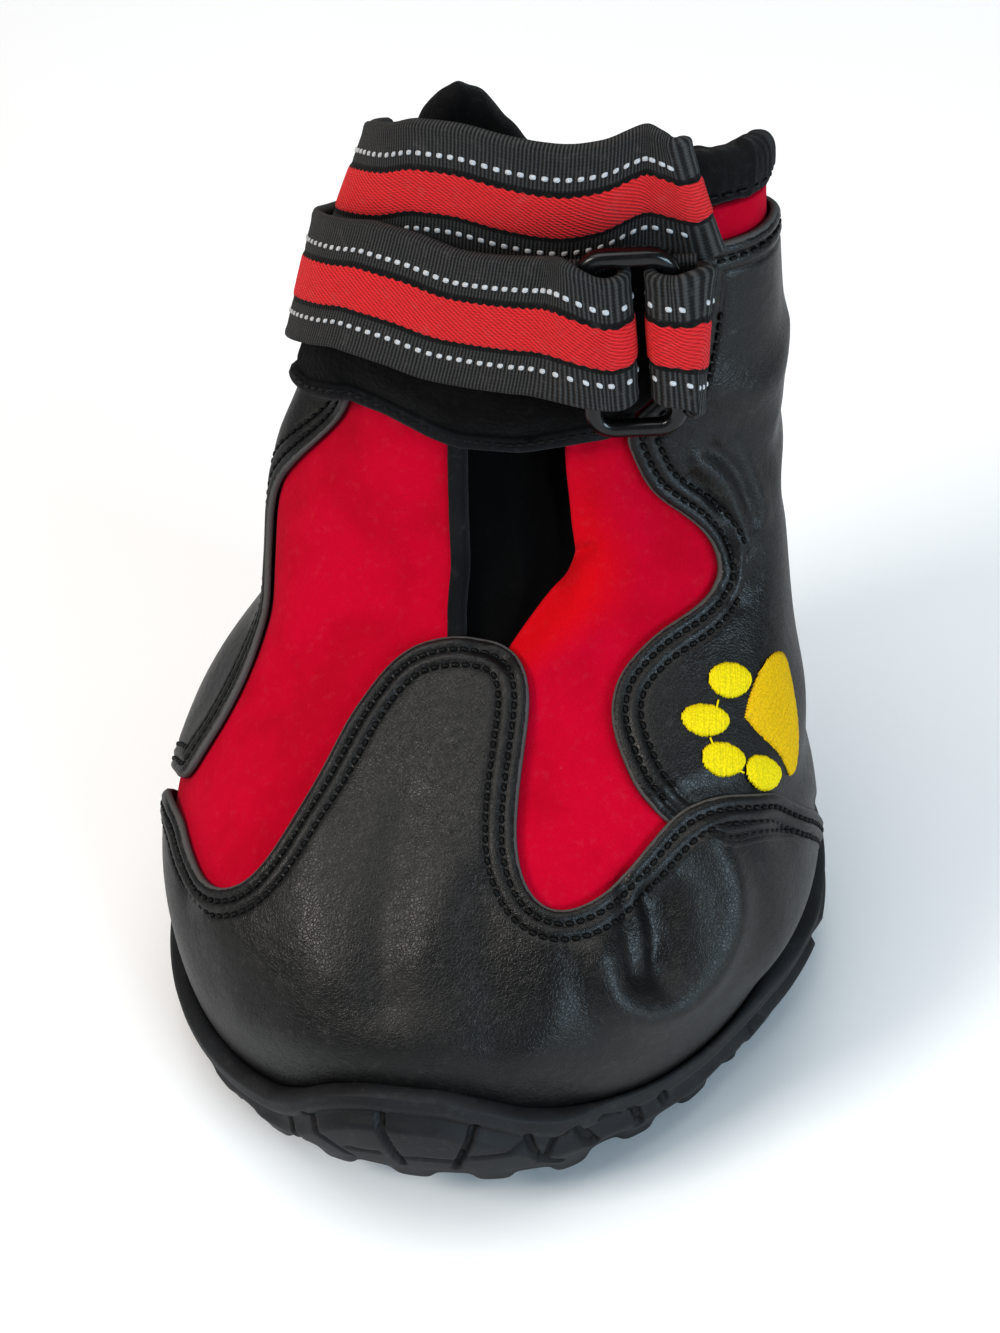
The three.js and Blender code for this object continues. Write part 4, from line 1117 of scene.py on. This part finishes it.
def makeCollar():
    left, right = (throatSide(side, 100.0) for side in ("left", "right"))
    turns = np.linspace(right + 0.8, left + 360 - 0.8, 420)
    around = np.radians(np.arange(0, 360, 12))
    level, across = signedPower(np.sin(around), 0.75), signedPower(np.cos(around), 0.85)
    phases = np.random.default_rng(3).uniform(0, 6.28, 6)
    wave = sum(np.sin(np.radians(turns) * k + phase) / k ** 0.5
               for k, phase in zip((5, 9, 13, 19, 27, 41), phases))
    rings = []
    for i, turn in enumerate(turns):
        toEnd = min(i, len(turns) - 1 - i) / 7
        small = math.sqrt(max(0.02, 1 - max(0, 1 - toEnd) ** 2))  # it closes in at both ends
        tall = (collar["high"] - collar["low"]) / 2 * small * (1 + 0.04 * wave[i])
        wide = collar["half"] * small * (1 + 0.10 * wave[i])
        heights = (collar["low"] + collar["high"]) / 2 + tall * level + 0.25 * wave[i] * (level > 0)
        pleat = 0.05 * np.sin(turn * 1.15 + 2 * np.sin(turn * 0.07)) * np.abs(across) * (level < 0.8)
        channel = ridge(heights, -0.32, collar["seam"], 0.35) * np.sign(across)
        lift = collar["middle"] + wide * across + pleat + channel
        rings.append(offSmooth(turn, slanted(turn, heights), lift))
    piece = tubePiece("collar_roll", np.array(rings[::-1]), [paint["collar"]], "trim",
                      replaces=("collar_binding",))
    row = turns[12:-12]
    stitches = stitchRow(row, slanted(row, collar["seam"]), collar["middle"] + collar["half"] - 0.35,
                         pitch=1.7, length=1.25, radius=0.18, place=offSmooth)
    makeStitches("collar_stitches", stitches, slot="trim")


# Ring

ring = {"turn": 24.6, "level": 90.3, "tilt": 7, "width": 11.4, "height": 24.2, "bar": 2, "corner": 2.4,
        "lift": 7.35, "shift": -0.5}


def ringPlace(along, up, lift):  # points in the ring's own directions
    point, alongRing, upRing, outRing = lastFrame(ring["turn"], ring["level"])
    c, s = math.cos(math.radians(ring["tilt"])), math.sin(math.radians(ring["tilt"]))
    axes = alongRing, upRing * c + outRing * s, outRing * c - upRing * s
    return point + sum(np.multiply.outer(np.asarray(value, float), axis)
                       for value, axis in zip((along, up, lift), axes))


def makeRing():
    half = [(ring[side] - ring["bar"]) / 2 - ring["corner"] for side in ("width", "height")]
    angles = np.radians(np.concatenate([np.linspace(i * 90, (i + 1) * 90, 13) for i in range(4)]))
    normals = np.stack([np.cos(angles), np.sin(angles)], 1)
    path = np.repeat([(1, 1), (-1, 1), (-1, -1), (1, -1)], 13, axis=0) * half + ring["corner"] * normals
    section = np.radians(np.arange(360, 0, -15))
    wide, tall = (ring["bar"] / 2 * signedPower(wave(section), 0.8) for wave in (np.cos, np.sin))
    rings = np.stack([ringPlace(*(path + normals * w).T + [[ring["shift"]], [0]], ring["lift"] + t)
                      for w, t in zip(wide, tall)], 1)
    faces = gridFaces(len(path) + 1, len(section), True) % (len(path) * len(section))
    makePiece("ring_loop", rings.reshape(-1, 3), faces, [paint["plastic"]], "plastic", replaces=("ring",))


# Straps

strap = {
    "width": 18.6, "thick": 1.3, "fit": 0.35,
    # at the ring: how much narrower, and how far above its middle
    "gathered": 0.9, "above": 1.3, "looseAbove": 2.4, "foldAbove": 0.9,
    "looseSlack": 2.0, "foldSlack": 0.8,
    "dotRow": 5.28, "dotPitch": 1.3, "dotLong": 0.78, "dotWide": 0.7,
    # turn, height of the middle, how far the low and the high edge stand off the last
    "lower": [(-168, 78, 2.4, 2.4), (-125, 78.5, 2.4, 3), (-106, 79.6, 2.7, 4.6), (-90, 82.6, 2.5, 4.9),
              (-77, 85.3, 2.5, 5), (-62, 88, 2.5, 5), (-48, 90, 2.5, 5.1), (-33, 90.5, 2.5, 5.4),
              (-18, 90.1, 2.7, 6.3), (-6, 90.6, 4, 7.6), (3, 91.4, 5.8, 9)],
    "anchor": [(38.1, 90, 8.2, 9.4), (39.9, 89, 6.9, 7.6), (40.8, 88, 4.8, 5.2), (41.1, 87.2, 3, 3.2),
               (41, 86.6, 1.6, 1.7)],
    "upper": [(-106, 93.4, 2, 2), (-85, 96.2, 1.9, 2.2), (-68, 99, 1.6, 3.2), (-50, 101.6, 1.2, 5.2),
              (-36, 103.8, 1.1, 6.8), (-23, 104.3, 1.1, 7.4), (-8, 103.6, 1.1, 7.8), (2, 103.2, 1.1, 8),
              (11, 104, 1.1, 8.6), (20, 106, 1.2, 9.5)],
    # its slanted end: turn, height and lift of the low edge, then of the high edge
    "upperEnd": [(26, 98.3, 1.6, 23.6, 114.9, 9.6), (33, 98.2, 2.2, 26.6, 114.5, 10.2),
                 (38.5, 98.1, 2.9, 28.6, 113.9, 10.3), (43.5, 98, 3.5, 30.2, 113.2, 10.2),
                 (46.5, 97.8, 2.6, 31.2, 112.9, 9.4)],
}


def chord(low, high):  # both edges at the webbing's own width
    middle, across = (low + high) / 2, unit(high - low) * strap["width"] / 2
    return middle - across, middle + across


def overShaft(turn, height, low, high):
    half = strap["width"] / 2
    return chord(offSmooth(turn, height - half, low), offSmooth(turn, height + half, high))


def runOverShaft(table, turns):
    table = np.array(table, float)
    return overShaft(turns, *(steadyThrough(table[:, 0], table[:, k])(turns) for k in (1, 2, 3)))


def turnedUnder(edge, along, out, radius, tail):  # one edge of a strap folded back under itself
    angles = np.radians(np.linspace(0, 180, 13))[:, None]
    bend = edge - out * radius + (along * np.sin(angles) + out * np.cos(angles)) * radius
    return np.concatenate([bend, bend[-1] - along * np.linspace(0, tail, 5)[1:, None]])


def roundTheBar(side, slack, tail, above):  # side is +1 where the strap comes from the inner side
    radius = ring["bar"] / 2 + strap["fit"]
    half = strap["width"] / 2
    over = side * (slack - (ring["width"] - ring["bar"]) / 2)
    lift = ring["lift"] + radius
    starts = [ringPlace(-side * ring["width"] / 2, above + up, lift) for up in (0.3 - half, half - 0.3)]
    bends = [ringPlace(over, strap["above"] + up, lift)
             for up in (strap["gathered"] - half, half - strap["gathered"])]
    out = unit(ringPlace(0, 0, 1) - ringPlace(0, 0, 0))
    along = unit(ringPlace(1, 0, 0) - ringPlace(0, 0, 0)) * side
    return [np.concatenate([start[None], turnedUnder(bend, along, out, radius, tail)])
            for start, bend in zip(starts, bends)]


def throughRows(lows, highs, step):  # a smooth band through rows of low and high points, rows at an even step
    middle = (lows + highs) / 2
    key = np.concatenate([[0], np.cumsum(np.maximum(np.linalg.norm(np.diff(middle, axis=0), axis=1), 1e-6))])
    fine = np.linspace(0, key[-1], 2000)
    covered = lengthAlong(splineColumns(key, middle, fine))
    along = np.linspace(0, covered[-1], int(covered[-1] / step))
    at = np.interp(along, covered, fine)
    return splineColumns(key, lows, at), splineColumns(key, highs, at), along


def bandPiece(name, lows, highs, node, startAt=0.0):
    lows, highs, along = throughRows(lows, highs, 0.4)
    thick, half = strap["thick"], strap["width"] / 2
    run = unit(np.gradient((lows + highs) / 2, axis=0))
    out = unit(np.cross(run, highs - lows))
    grid = np.concatenate([[-half, -half + 0.12, -half + 0.35], np.linspace(-half + 0.8, -3.6, 10),
                           [-3.1, -2.9], np.linspace(-2.4, 2.4, 7), [2.9, 3.1],
                           np.linspace(3.6, half - 0.8, 10), [half - 0.35, half - 0.12, half]])
    away = np.abs(grid)
    rounded = np.sqrt(np.clip(1 - (1 - np.minimum(1, (half - away) / 0.35)) ** 2, 0, 1))
    upSide = thick * (0.5 + 0.5 * rounded) + 0.13 * smoothStep(away, 3.05, 2.8)
    upSide = upSide + ridge(away, 0.10, half - 0.9, 0.5) - ridge(away, 0.06, 3.5, 0.3)
    downSide = thick * (0.5 - 0.5 * rounded)
    sag = 0.10 * np.sin(along * 0.17 + 0.8)[:, None] * np.cos(grid * 0.30)[None]
    share = (grid / (2 * half) + 0.5)[None, :, None]
    base = lows[:, None] * (1 - share) + highs[:, None] * share
    top, bottom = (base + out[:, None] * (lift[None] + sag)[..., None] for lift in (upSide, downSide))
    section = np.concatenate([bottom, top[:, ::-1]], 1)
    tubePiece(name, section, [paint["webbing"]], "webbing", replaces=(node,),
              along=np.repeat(along + startAt, section.shape[1]),
              across=np.tile(np.concatenate([grid, grid[::-1]]), len(section)))
    return lows, highs, out, run, along, upSide, grid, sag


def strapDots(name, band, skipEnd=0.0):  # raised pale stitches in two rows
    lows, highs, out, run, along, upSide, grid, sag = band
    shape = [(0.0, 1.0), (0.12, 0.94), (0.2, 0.7), (0.24, 0.35)]  # how high, how wide
    around = np.radians(np.arange(0, 360, 30))
    long, wide = (signedPower(wave(around), 0.7)[:, None] * strap[size] / 2
                  for wave, size in ((np.cos, "dotLong"), (np.sin, "dotWide")))
    across = unit(highs - lows)
    parts = []
    for row in (-strap["dotRow"], strap["dotRow"]):
        share = row / strap["width"] + 0.5
        lift = np.interp(row, grid, upSide) + np.array([np.interp(row, grid, line) for line in sag])
        line = lows * (1 - share) + highs * share + out * lift[:, None]
        for at in np.arange(0.8, along[-1] - 0.5 - skipEnd, strap["dotPitch"]):
            point, o, r, a = (columnsAt(at, along, value) for value in (line, out, run, across))
            rings = [point + o * (high - 0.06) + size * (long * r + wide * a) for high, size in shape]
            parts.append((np.array(rings), tubeFaces(len(shape), len(around))))
    makeStitches(name, parts, "dots", "webbing")


def makeStraps():
    def strapPiece(node, parts, skipEnd=0.0, startAt=0.0):
        lows, highs = (np.concatenate(side) for side in zip(*parts))
        strapDots(node + "_dots", bandPiece(node + "_band", lows, highs, node, startAt), skipEnd)

    loose = roundTheBar(1, strap["looseSlack"], 4, strap["looseAbove"])
    strapPiece("lower_strap", [runOverShaft(strap["lower"], np.linspace(-168, 3, 60)), loose], skipEnd=5)
    fold = roundTheBar(-1, strap["foldSlack"], 3, strap["foldAbove"])
    anchor = overShaft(*np.array(strap["anchor"])[::-1].T)
    strapPiece("lower_anchor", [[side[::-1] for side in part] for part in (fold, anchor)], startAt=0.4)
    end = np.array(strap["upperEnd"]).T
    end = chord(*(offSmooth(*end[k:k + 3]) for k in (0, 3)))
    strapPiece("upper_strap", [runOverShaft(strap["upper"], np.linspace(-106, 20, 52)), end], skipEnd=0.4)


# Insole

insole = {"bottom": 5.85, "thick": 2.6, "edge": 0.93}


def footRing(turns, share, lift):
    edge = lastPoint(turns, np.full(len(turns), 5.5))
    x, y = edge[:, 0] * share, edge[:, 1] * share
    return np.stack([x, y, lift + toeSpring(y)], 1)


def makeInsole():
    turns = np.linspace(-180, 180, 241)[:-1]
    low, high, edge = insole["bottom"], insole["bottom"] + insole["thick"], insole["edge"]
    levels = [(share, low) for share in (0.02, 0.3, 0.6, edge - 0.02)]
    levels += [(edge, low + 0.5), (edge, high - 0.6), (edge - 0.012, high - 0.1)]
    for share in (0.9, 0.86, 0.83, 0.8, 0.6, 0.4, 0.2, 0.02):
        levels.append((share, high - ridge(share, 0.35, 0.83, 0.02) + 0.1 * (share < 0.8) - 0.1))
    rings = np.array([footRing(turns, *level) for level in levels])
    piece = tubePiece("insole_board", rings, [paint["insole"]], "foam", replaces=("insole",))


# Outsole: a rubber cup with a lip, thin grooves at the toe, and tread blocks

sole = {
    "rim": [(-180, 15), (-120, 12), (-60, 11.2), (-34, 10.6), (-24, 11), (-17, 13), (-9.5, 16.6), (-2, 18.4),
            (6, 18.6), (14, 17), (22, 14.4), (30, 13.1), (46, 12.1), (60, 12.3), (76, 13.1), (96, 14.4),
            (124, 13), (180, 15)],
    "foot": 5.5, "lipInside": 1.5, "wall": 3.8, "outerSpread": 1.8, "toeTuck": 1.3, "bulge": 1.35,
    "tread": 3.0, "blockTurn": 20, "groove": 2.0, "low": 4.1, "toeFrom": -68, "toeTo": 62,
    # how far it stands out, or in below zero, at what distance from the rim or height, how wide
    "lip": (0.35, 1.1, 0.9), "line": (-0.30, 2.75, 0.28), "slot": (-0.7, 6.6, 0.5),
    "sipe": (0.7, 0.82, 0.014),    # the same up into the tread, by the share of the way out
    # thin grooves in the toe guard: path of turn and height, width, depth
    "cuts": [
        ([(-1.4, 15.6), (1.2, 8)], 0.75, 0.9), ([(13.2, 14.8), (9.8, 8)], 0.75, 0.9),
        ([(0.6, 9.4), (5, 9.6), (10.2, 9.4)], 0.45, 0.3), ([(-14.5, 12.4), (-11, 10), (-7.5, 7)], 0.6, 0.6),
        ([(-7.5, 9.4), (-2, 9.8)], 0.45, 0.35), ([(11, 10.2), (16, 10.6), (21, 11.2)], 0.5, 0.4),
        ([(21.5, 12.6), (22.6, 10), (27, 7.2)], 0.7, 0.8), ([(34.5, 11.6), (38, 10.6)], 0.9, 0.8),
        ([(28.5, 12.2), (25.5, 10.2), (23.5, 8.6)], 0.55, 0.6), ([(29.5, 12), (31, 10), (33.5, 8)], 0.9, 0.9),
        ([(40, 11), (42, 9), (42.5, 7)], 0.9, 0.9), ([(46.5, 10.8), (48, 8.6)], 1.0, 0.8),
        ([(-20, 9.4), (-18, 7.6), (-17.4, 6)], 0.6, 0.5),
    ],
    # corners of the tread blocks: a pair of slanted bars, made in three rows, and one across the heel
    "bar": [(1.4, 0.2), (1.4, 7.6), (16.8, 3.6), (16.8, -3.8)], "barRows": (-14, -2, 10),
    "heelBar": [(-13.8, 21.6), (13.8, 21.6), (11, 25.3), (-11, 25.3)],
}
rimHeight = steadyThrough(*zip(*sole["rim"]))


def blockMask(turn):  # 1 on a tread block and 0 in the groove beside it; 1 in the toe guard, which has none
    share = np.abs((turn / sole["blockTurn"] + 0.5) % 1 - 0.5)
    reach = np.linalg.norm(lastPoint(turn, 12.0)[..., :2], axis=-1)
    gap = np.radians((0.5 - share) * sole["blockTurn"]) * reach
    side = smoothStep(gap, sole["groove"] / 2 - 0.25, sole["groove"] / 2 + 0.3)
    low, high = sole["toeFrom"], sole["toeTo"]
    return side, smoothStep(turn, low - 6, low) * smoothStep(turn, high + 6, high)


def scallop(turn):  # small lugs round the tread's lowest edge at the toe
    return 0.5 + 0.5 * np.tanh(2.2 * np.sin(np.radians(turn) * 26 + 0.8))


def cutGrooves(base, lift):  # takes the toe guard's grooves off the lift, and returns where they are
    flat, lift = base.reshape(-1, 3), lift.reshape(-1)
    total = np.zeros(len(flat))
    for path, width, depth in sole["cuts"]:
        path = roundedThrough(path, 0.3) if len(path) > 2 else evenly(path, 0.3)
        line = evenly(lastPoint(*path.T), 0.15)
        near = np.flatnonzero(np.linalg.norm(flat - line.mean(0), axis=1) < 9)
        mask = smoothStep(gapTo(line, flat[near]), width / 2 + 0.22, width / 2 - 0.12)
        lift[near] -= depth * mask
        total[near] = np.maximum(total[near], mask)
    return total.reshape(base.shape[:2])


def makeOutsole():
    turns = np.concatenate([np.arange(-50, 60, 0.3), np.arange(60, 310, 0.66)])
    around = wrapped(turns)
    rim, lugs = rimHeight(around), scallop(around)
    side, inToe = blockMask(around)
    standing = side * (1 - inToe) + inToe
    wallRows = np.array([sole["low"] + (rim - sole["low"]) * share for share in np.linspace(0, 1, 44)])
    fromRim = rim[None] - wallRows
    shoulder, toeShoulder = smoothStep(fromRim, 2.5, 3.7), smoothStep(fromRim, 3.0, 4.6)
    bulge = sole["bulge"] * (shoulder * standing * (1 - inToe) + toeShoulder * inToe * 0.85)
    lip = ridge(fromRim, *sole["lip"])
    line = ridge(fromRim, *sole["line"]) * (0.35 + 0.65 * inToe)
    slot = ridge(wallRows, *sole["slot"]) * (1 - inToe) * side
    bottomLugs = -0.55 * smoothStep(wallRows, 7.2, 5.4) * (1 - lugs) * inToe
    spread = sole["outerSpread"] * smoothStep(around, 72, 92) * smoothStep(around, 146, 110)
    spread -= sole["toeTuck"] * smoothStep(around, 26, 38) * smoothStep(around, 80, 62)
    lift = sole["wall"] + spread + bulge + lip + line + slot + bottomLugs
    # groove marks the grooves and the gaps between the wall's tread blocks, where the rubber is painted
    # darker as shade
    groove = cutGrooves(lastPoint(turns, wallRows), lift)
    groove = np.maximum(groove, 0.8 * (1 - side) * (1 - inToe) * shoulder)
    wall = offSmooth(turns, wallRows, lift)
    # underside, from the wall's foot inward
    block = standing * (1 - 0.55 * (1 - lugs) * inToe)
    under, underGrooveShade = [], []
    foot, first = wall[0], footRing(turns, 1 + (sole["bulge"] + 0.6 + spread) / 36, 0)
    ground = np.minimum(foot[:, 2], toeSpring(first[:, 1]) + sole["tread"] * (1 - block))
    for share in (0.35, 0.65, 0.85, 1.0):
        bend = math.sin(share * math.pi / 2)
        point = foot * (1 - share ** 2) + first * share ** 2
        point[:, 2] = foot[:, 2] * (1 - bend) + ground * bend
        under.append(point)
        underGrooveShade.append(1 - block)
    for share in (*np.linspace(1.0, 0.68, 14), 0.665, 0.65, 0.63, *np.linspace(0.6, 0.02, 14)):
        inside = smoothStep(share, 0.65, 0.672)
        sipe = ridge(share, *sole["sipe"]) if share > 0.675 else 0.0
        under.append(footRing(turns, share, sole["tread"] * (1 - block * inside) + sipe * block))
        underGrooveShade.append(1 - block * inside)
    # over the lip and down into the cup
    outerWall = sole["wall"] + spread
    middle, half = (outerWall + sole["lipInside"]) / 2, (outerWall - sole["lipInside"]) / 2
    top = [offSmooth(turns, rim + 0.75 * math.sin(angle), middle + half * math.cos(angle) * 1.1)
           for angle in np.radians(np.linspace(20, 180, 9))]
    for share, inner in ((0.9, 1.6), (0.75, 1.9), (0.5, 1.9), (0.25, 1.9), (0.05, 1.9)):
        top.append(offSmooth(turns, sole["foot"] + (rim - sole["foot"]) * share, inner))
    top += [footRing(turns, share, sole["foot"]) for share in (1.03, 0.95, 0.6, 0.3, 0.02)]
    rings = np.array(under[::-1] + list(wall) + top)
    bars = [[(x * mirror, row + y) for x, y in sole["bar"]] for row in sole["barRows"] for mirror in (1, -1)]
    points, faces = joined([(rings, tubeFaces(*rings.shape[:2]))]
                           + [blockUnder(corners) for corners in bars + [sole["heelBar"]]])
    values = np.zeros(len(points))
    known = np.concatenate([np.array(underGrooveShade[::-1]), groove]).ravel()
    values[:len(known)] = known
    makePiece("outsole_cup", points, faces, [paint["rubber"]], "rubber", replaces=("outsole",), groove=values)


def blockUnder(corners):  # one tread block under the forefoot or heel, its edges eased
    corners = np.array(corners, float)
    if np.cross(corners[1] - corners[0], corners[2] - corners[1]) < 0:
        corners = corners[::-1]
    middle = corners.mean(0)
    outline = np.concatenate([np.linspace(a, b, 12, endpoint=False)
                              for a, b in zip(corners, np.roll(corners, -1, axis=0))])
    kernel = np.array([1, 4, 6, 4, 1]) / 16
    smooth = sum(share * np.roll(outline, k - 2, axis=0) for k, share in enumerate(kernel))
    direction = middle - smooth
    length = np.linalg.norm(direction, axis=1, keepdims=True)
    rings = []
    for inward, z in ((0.0, sole["tread"] + 0.5), (0.0, 0.5), (0.12, 0.15), (0.45, 0.0), (4.0, 0.0)):
        flat = smooth + direction / length * np.minimum(inward, length * 0.8)
        rings.append(np.concatenate([flat, (z + toeSpring(flat[:, 1]))[:, None]], 1))
    return np.array(rings[::-1]), tubeFaces(len(rings), len(outline))


# Put together

makeOutsole()
makeInsole()
print("stage: sole made")
makeUpperShell()
makeThroatBinding()
makeGusset()
print("stage: upper made")
makeToeCap()
makeHeelPanel()
makePaw()
print("stage: leather made")
makeFlap()
makeCollar()
makeRing()
makeStraps()
print("stage: collar and straps made")


# Floor, light and camera

stage = {"floorSize": 3.0, "camera": (73.8, -201.7, 253), "level": (-0.1015, 0.7219, -0.6845),
         "aim": (4.5, 1.0, 48), "lens": 90, "lightAim": (0, 0, 40), "exposure": 0.32, "gamma": 0.8,
         "room": 0.22, "backdrop": 0.6}
lights = {
    # where it is, width and length in metres, watts, colour
    "overhead": ((-60, 60, 900), (0.9, 0.8), 4.2, (1.0, 0.985, 0.96)),
    "leftWindow": ((-560, -440, 690), (0.32, 0.32), 4.1, (1.0, 0.94, 0.87)),
    "rightWindow": ((690, -470, 330), (0.55, 0.3), 4.9, (0.66, 0.86, 1.0)),
}


def makeFloor():
    axis = np.linspace(-stage["floorSize"] / 2, stage["floorSize"] / 2, 41)
    x, y = np.meshgrid(axis, axis)
    points = np.stack([x.ravel(), y.ravel(), np.full(x.size, float(cadLow[2]) - 0.0002)], 1)
    mesh = bpy.data.meshes.new("floor")
    mesh.from_pydata(points.tolist(), [], gridFaces(*x.shape).tolist())
    mesh.materials.append(floorMaterial())
    floor = bpy.data.objects.new("floor", mesh)
    scene.collection.objects.link(floor)


def makeLight(name, at, size, power, colour):
    light = bpy.data.lights.new(name, "AREA")
    light.shape, light.size, light.size_y, light.energy, light.color = "RECTANGLE", *size, power, colour
    lamp = bpy.data.objects.new(name, light)
    lamp.location = Vector(at) * mm
    lamp.rotation_euler = (Vector(stage["lightAim"]) - Vector(at)).to_track_quat("-Z", "Y").to_euler()
    scene.collection.objects.link(lamp)


def makeWorld():  # a dim room round the boot, but a pale backdrop behind it
    world = bpy.data.worlds.new("paleRoom")
    world.use_nodes = True
    tree = world.node_tree
    sockets = tree.nodes["Background"].inputs
    sockets["Color"].default_value = (0.93, 0.96, 1.0, 1)
    seen = addNode(tree, "LightPath").outputs["Is Camera Ray"]
    wire(tree, sockets, Strength=plus(tree, times(tree, seen, stage["backdrop"]), stage["room"]))
    scene.world = world


def makeCamera():
    camera = bpy.data.cameras.new("view")
    camera.lens, camera.sensor_width, camera.sensor_fit = stage["lens"], 36, "HORIZONTAL"
    camera.clip_start, camera.clip_end = 0.01, 20
    eye = bpy.data.objects.new("view", camera)
    at, aim = Vector(stage["camera"]) + Vector(bootShift), Vector(stage["aim"]) + Vector(bootShift)
    first = Vector(stage["level"])
    eye.location = at * mm
    eye.rotation_mode = "QUATERNION"
    eye.rotation_quaternion = first.rotation_difference(aim - at) @ first.to_track_quat("-Z", "Y")
    scene.collection.objects.link(eye)
    scene.camera = eye


makeFloor()
for name, look in lights.items():
    makeLight(name, *look)
makeWorld()
makeCamera()
scene.view_settings.view_transform = "Standard"
scene.view_settings.exposure, scene.view_settings.gamma = stage["exposure"], stage["gamma"]
print("stage: camera and light set")
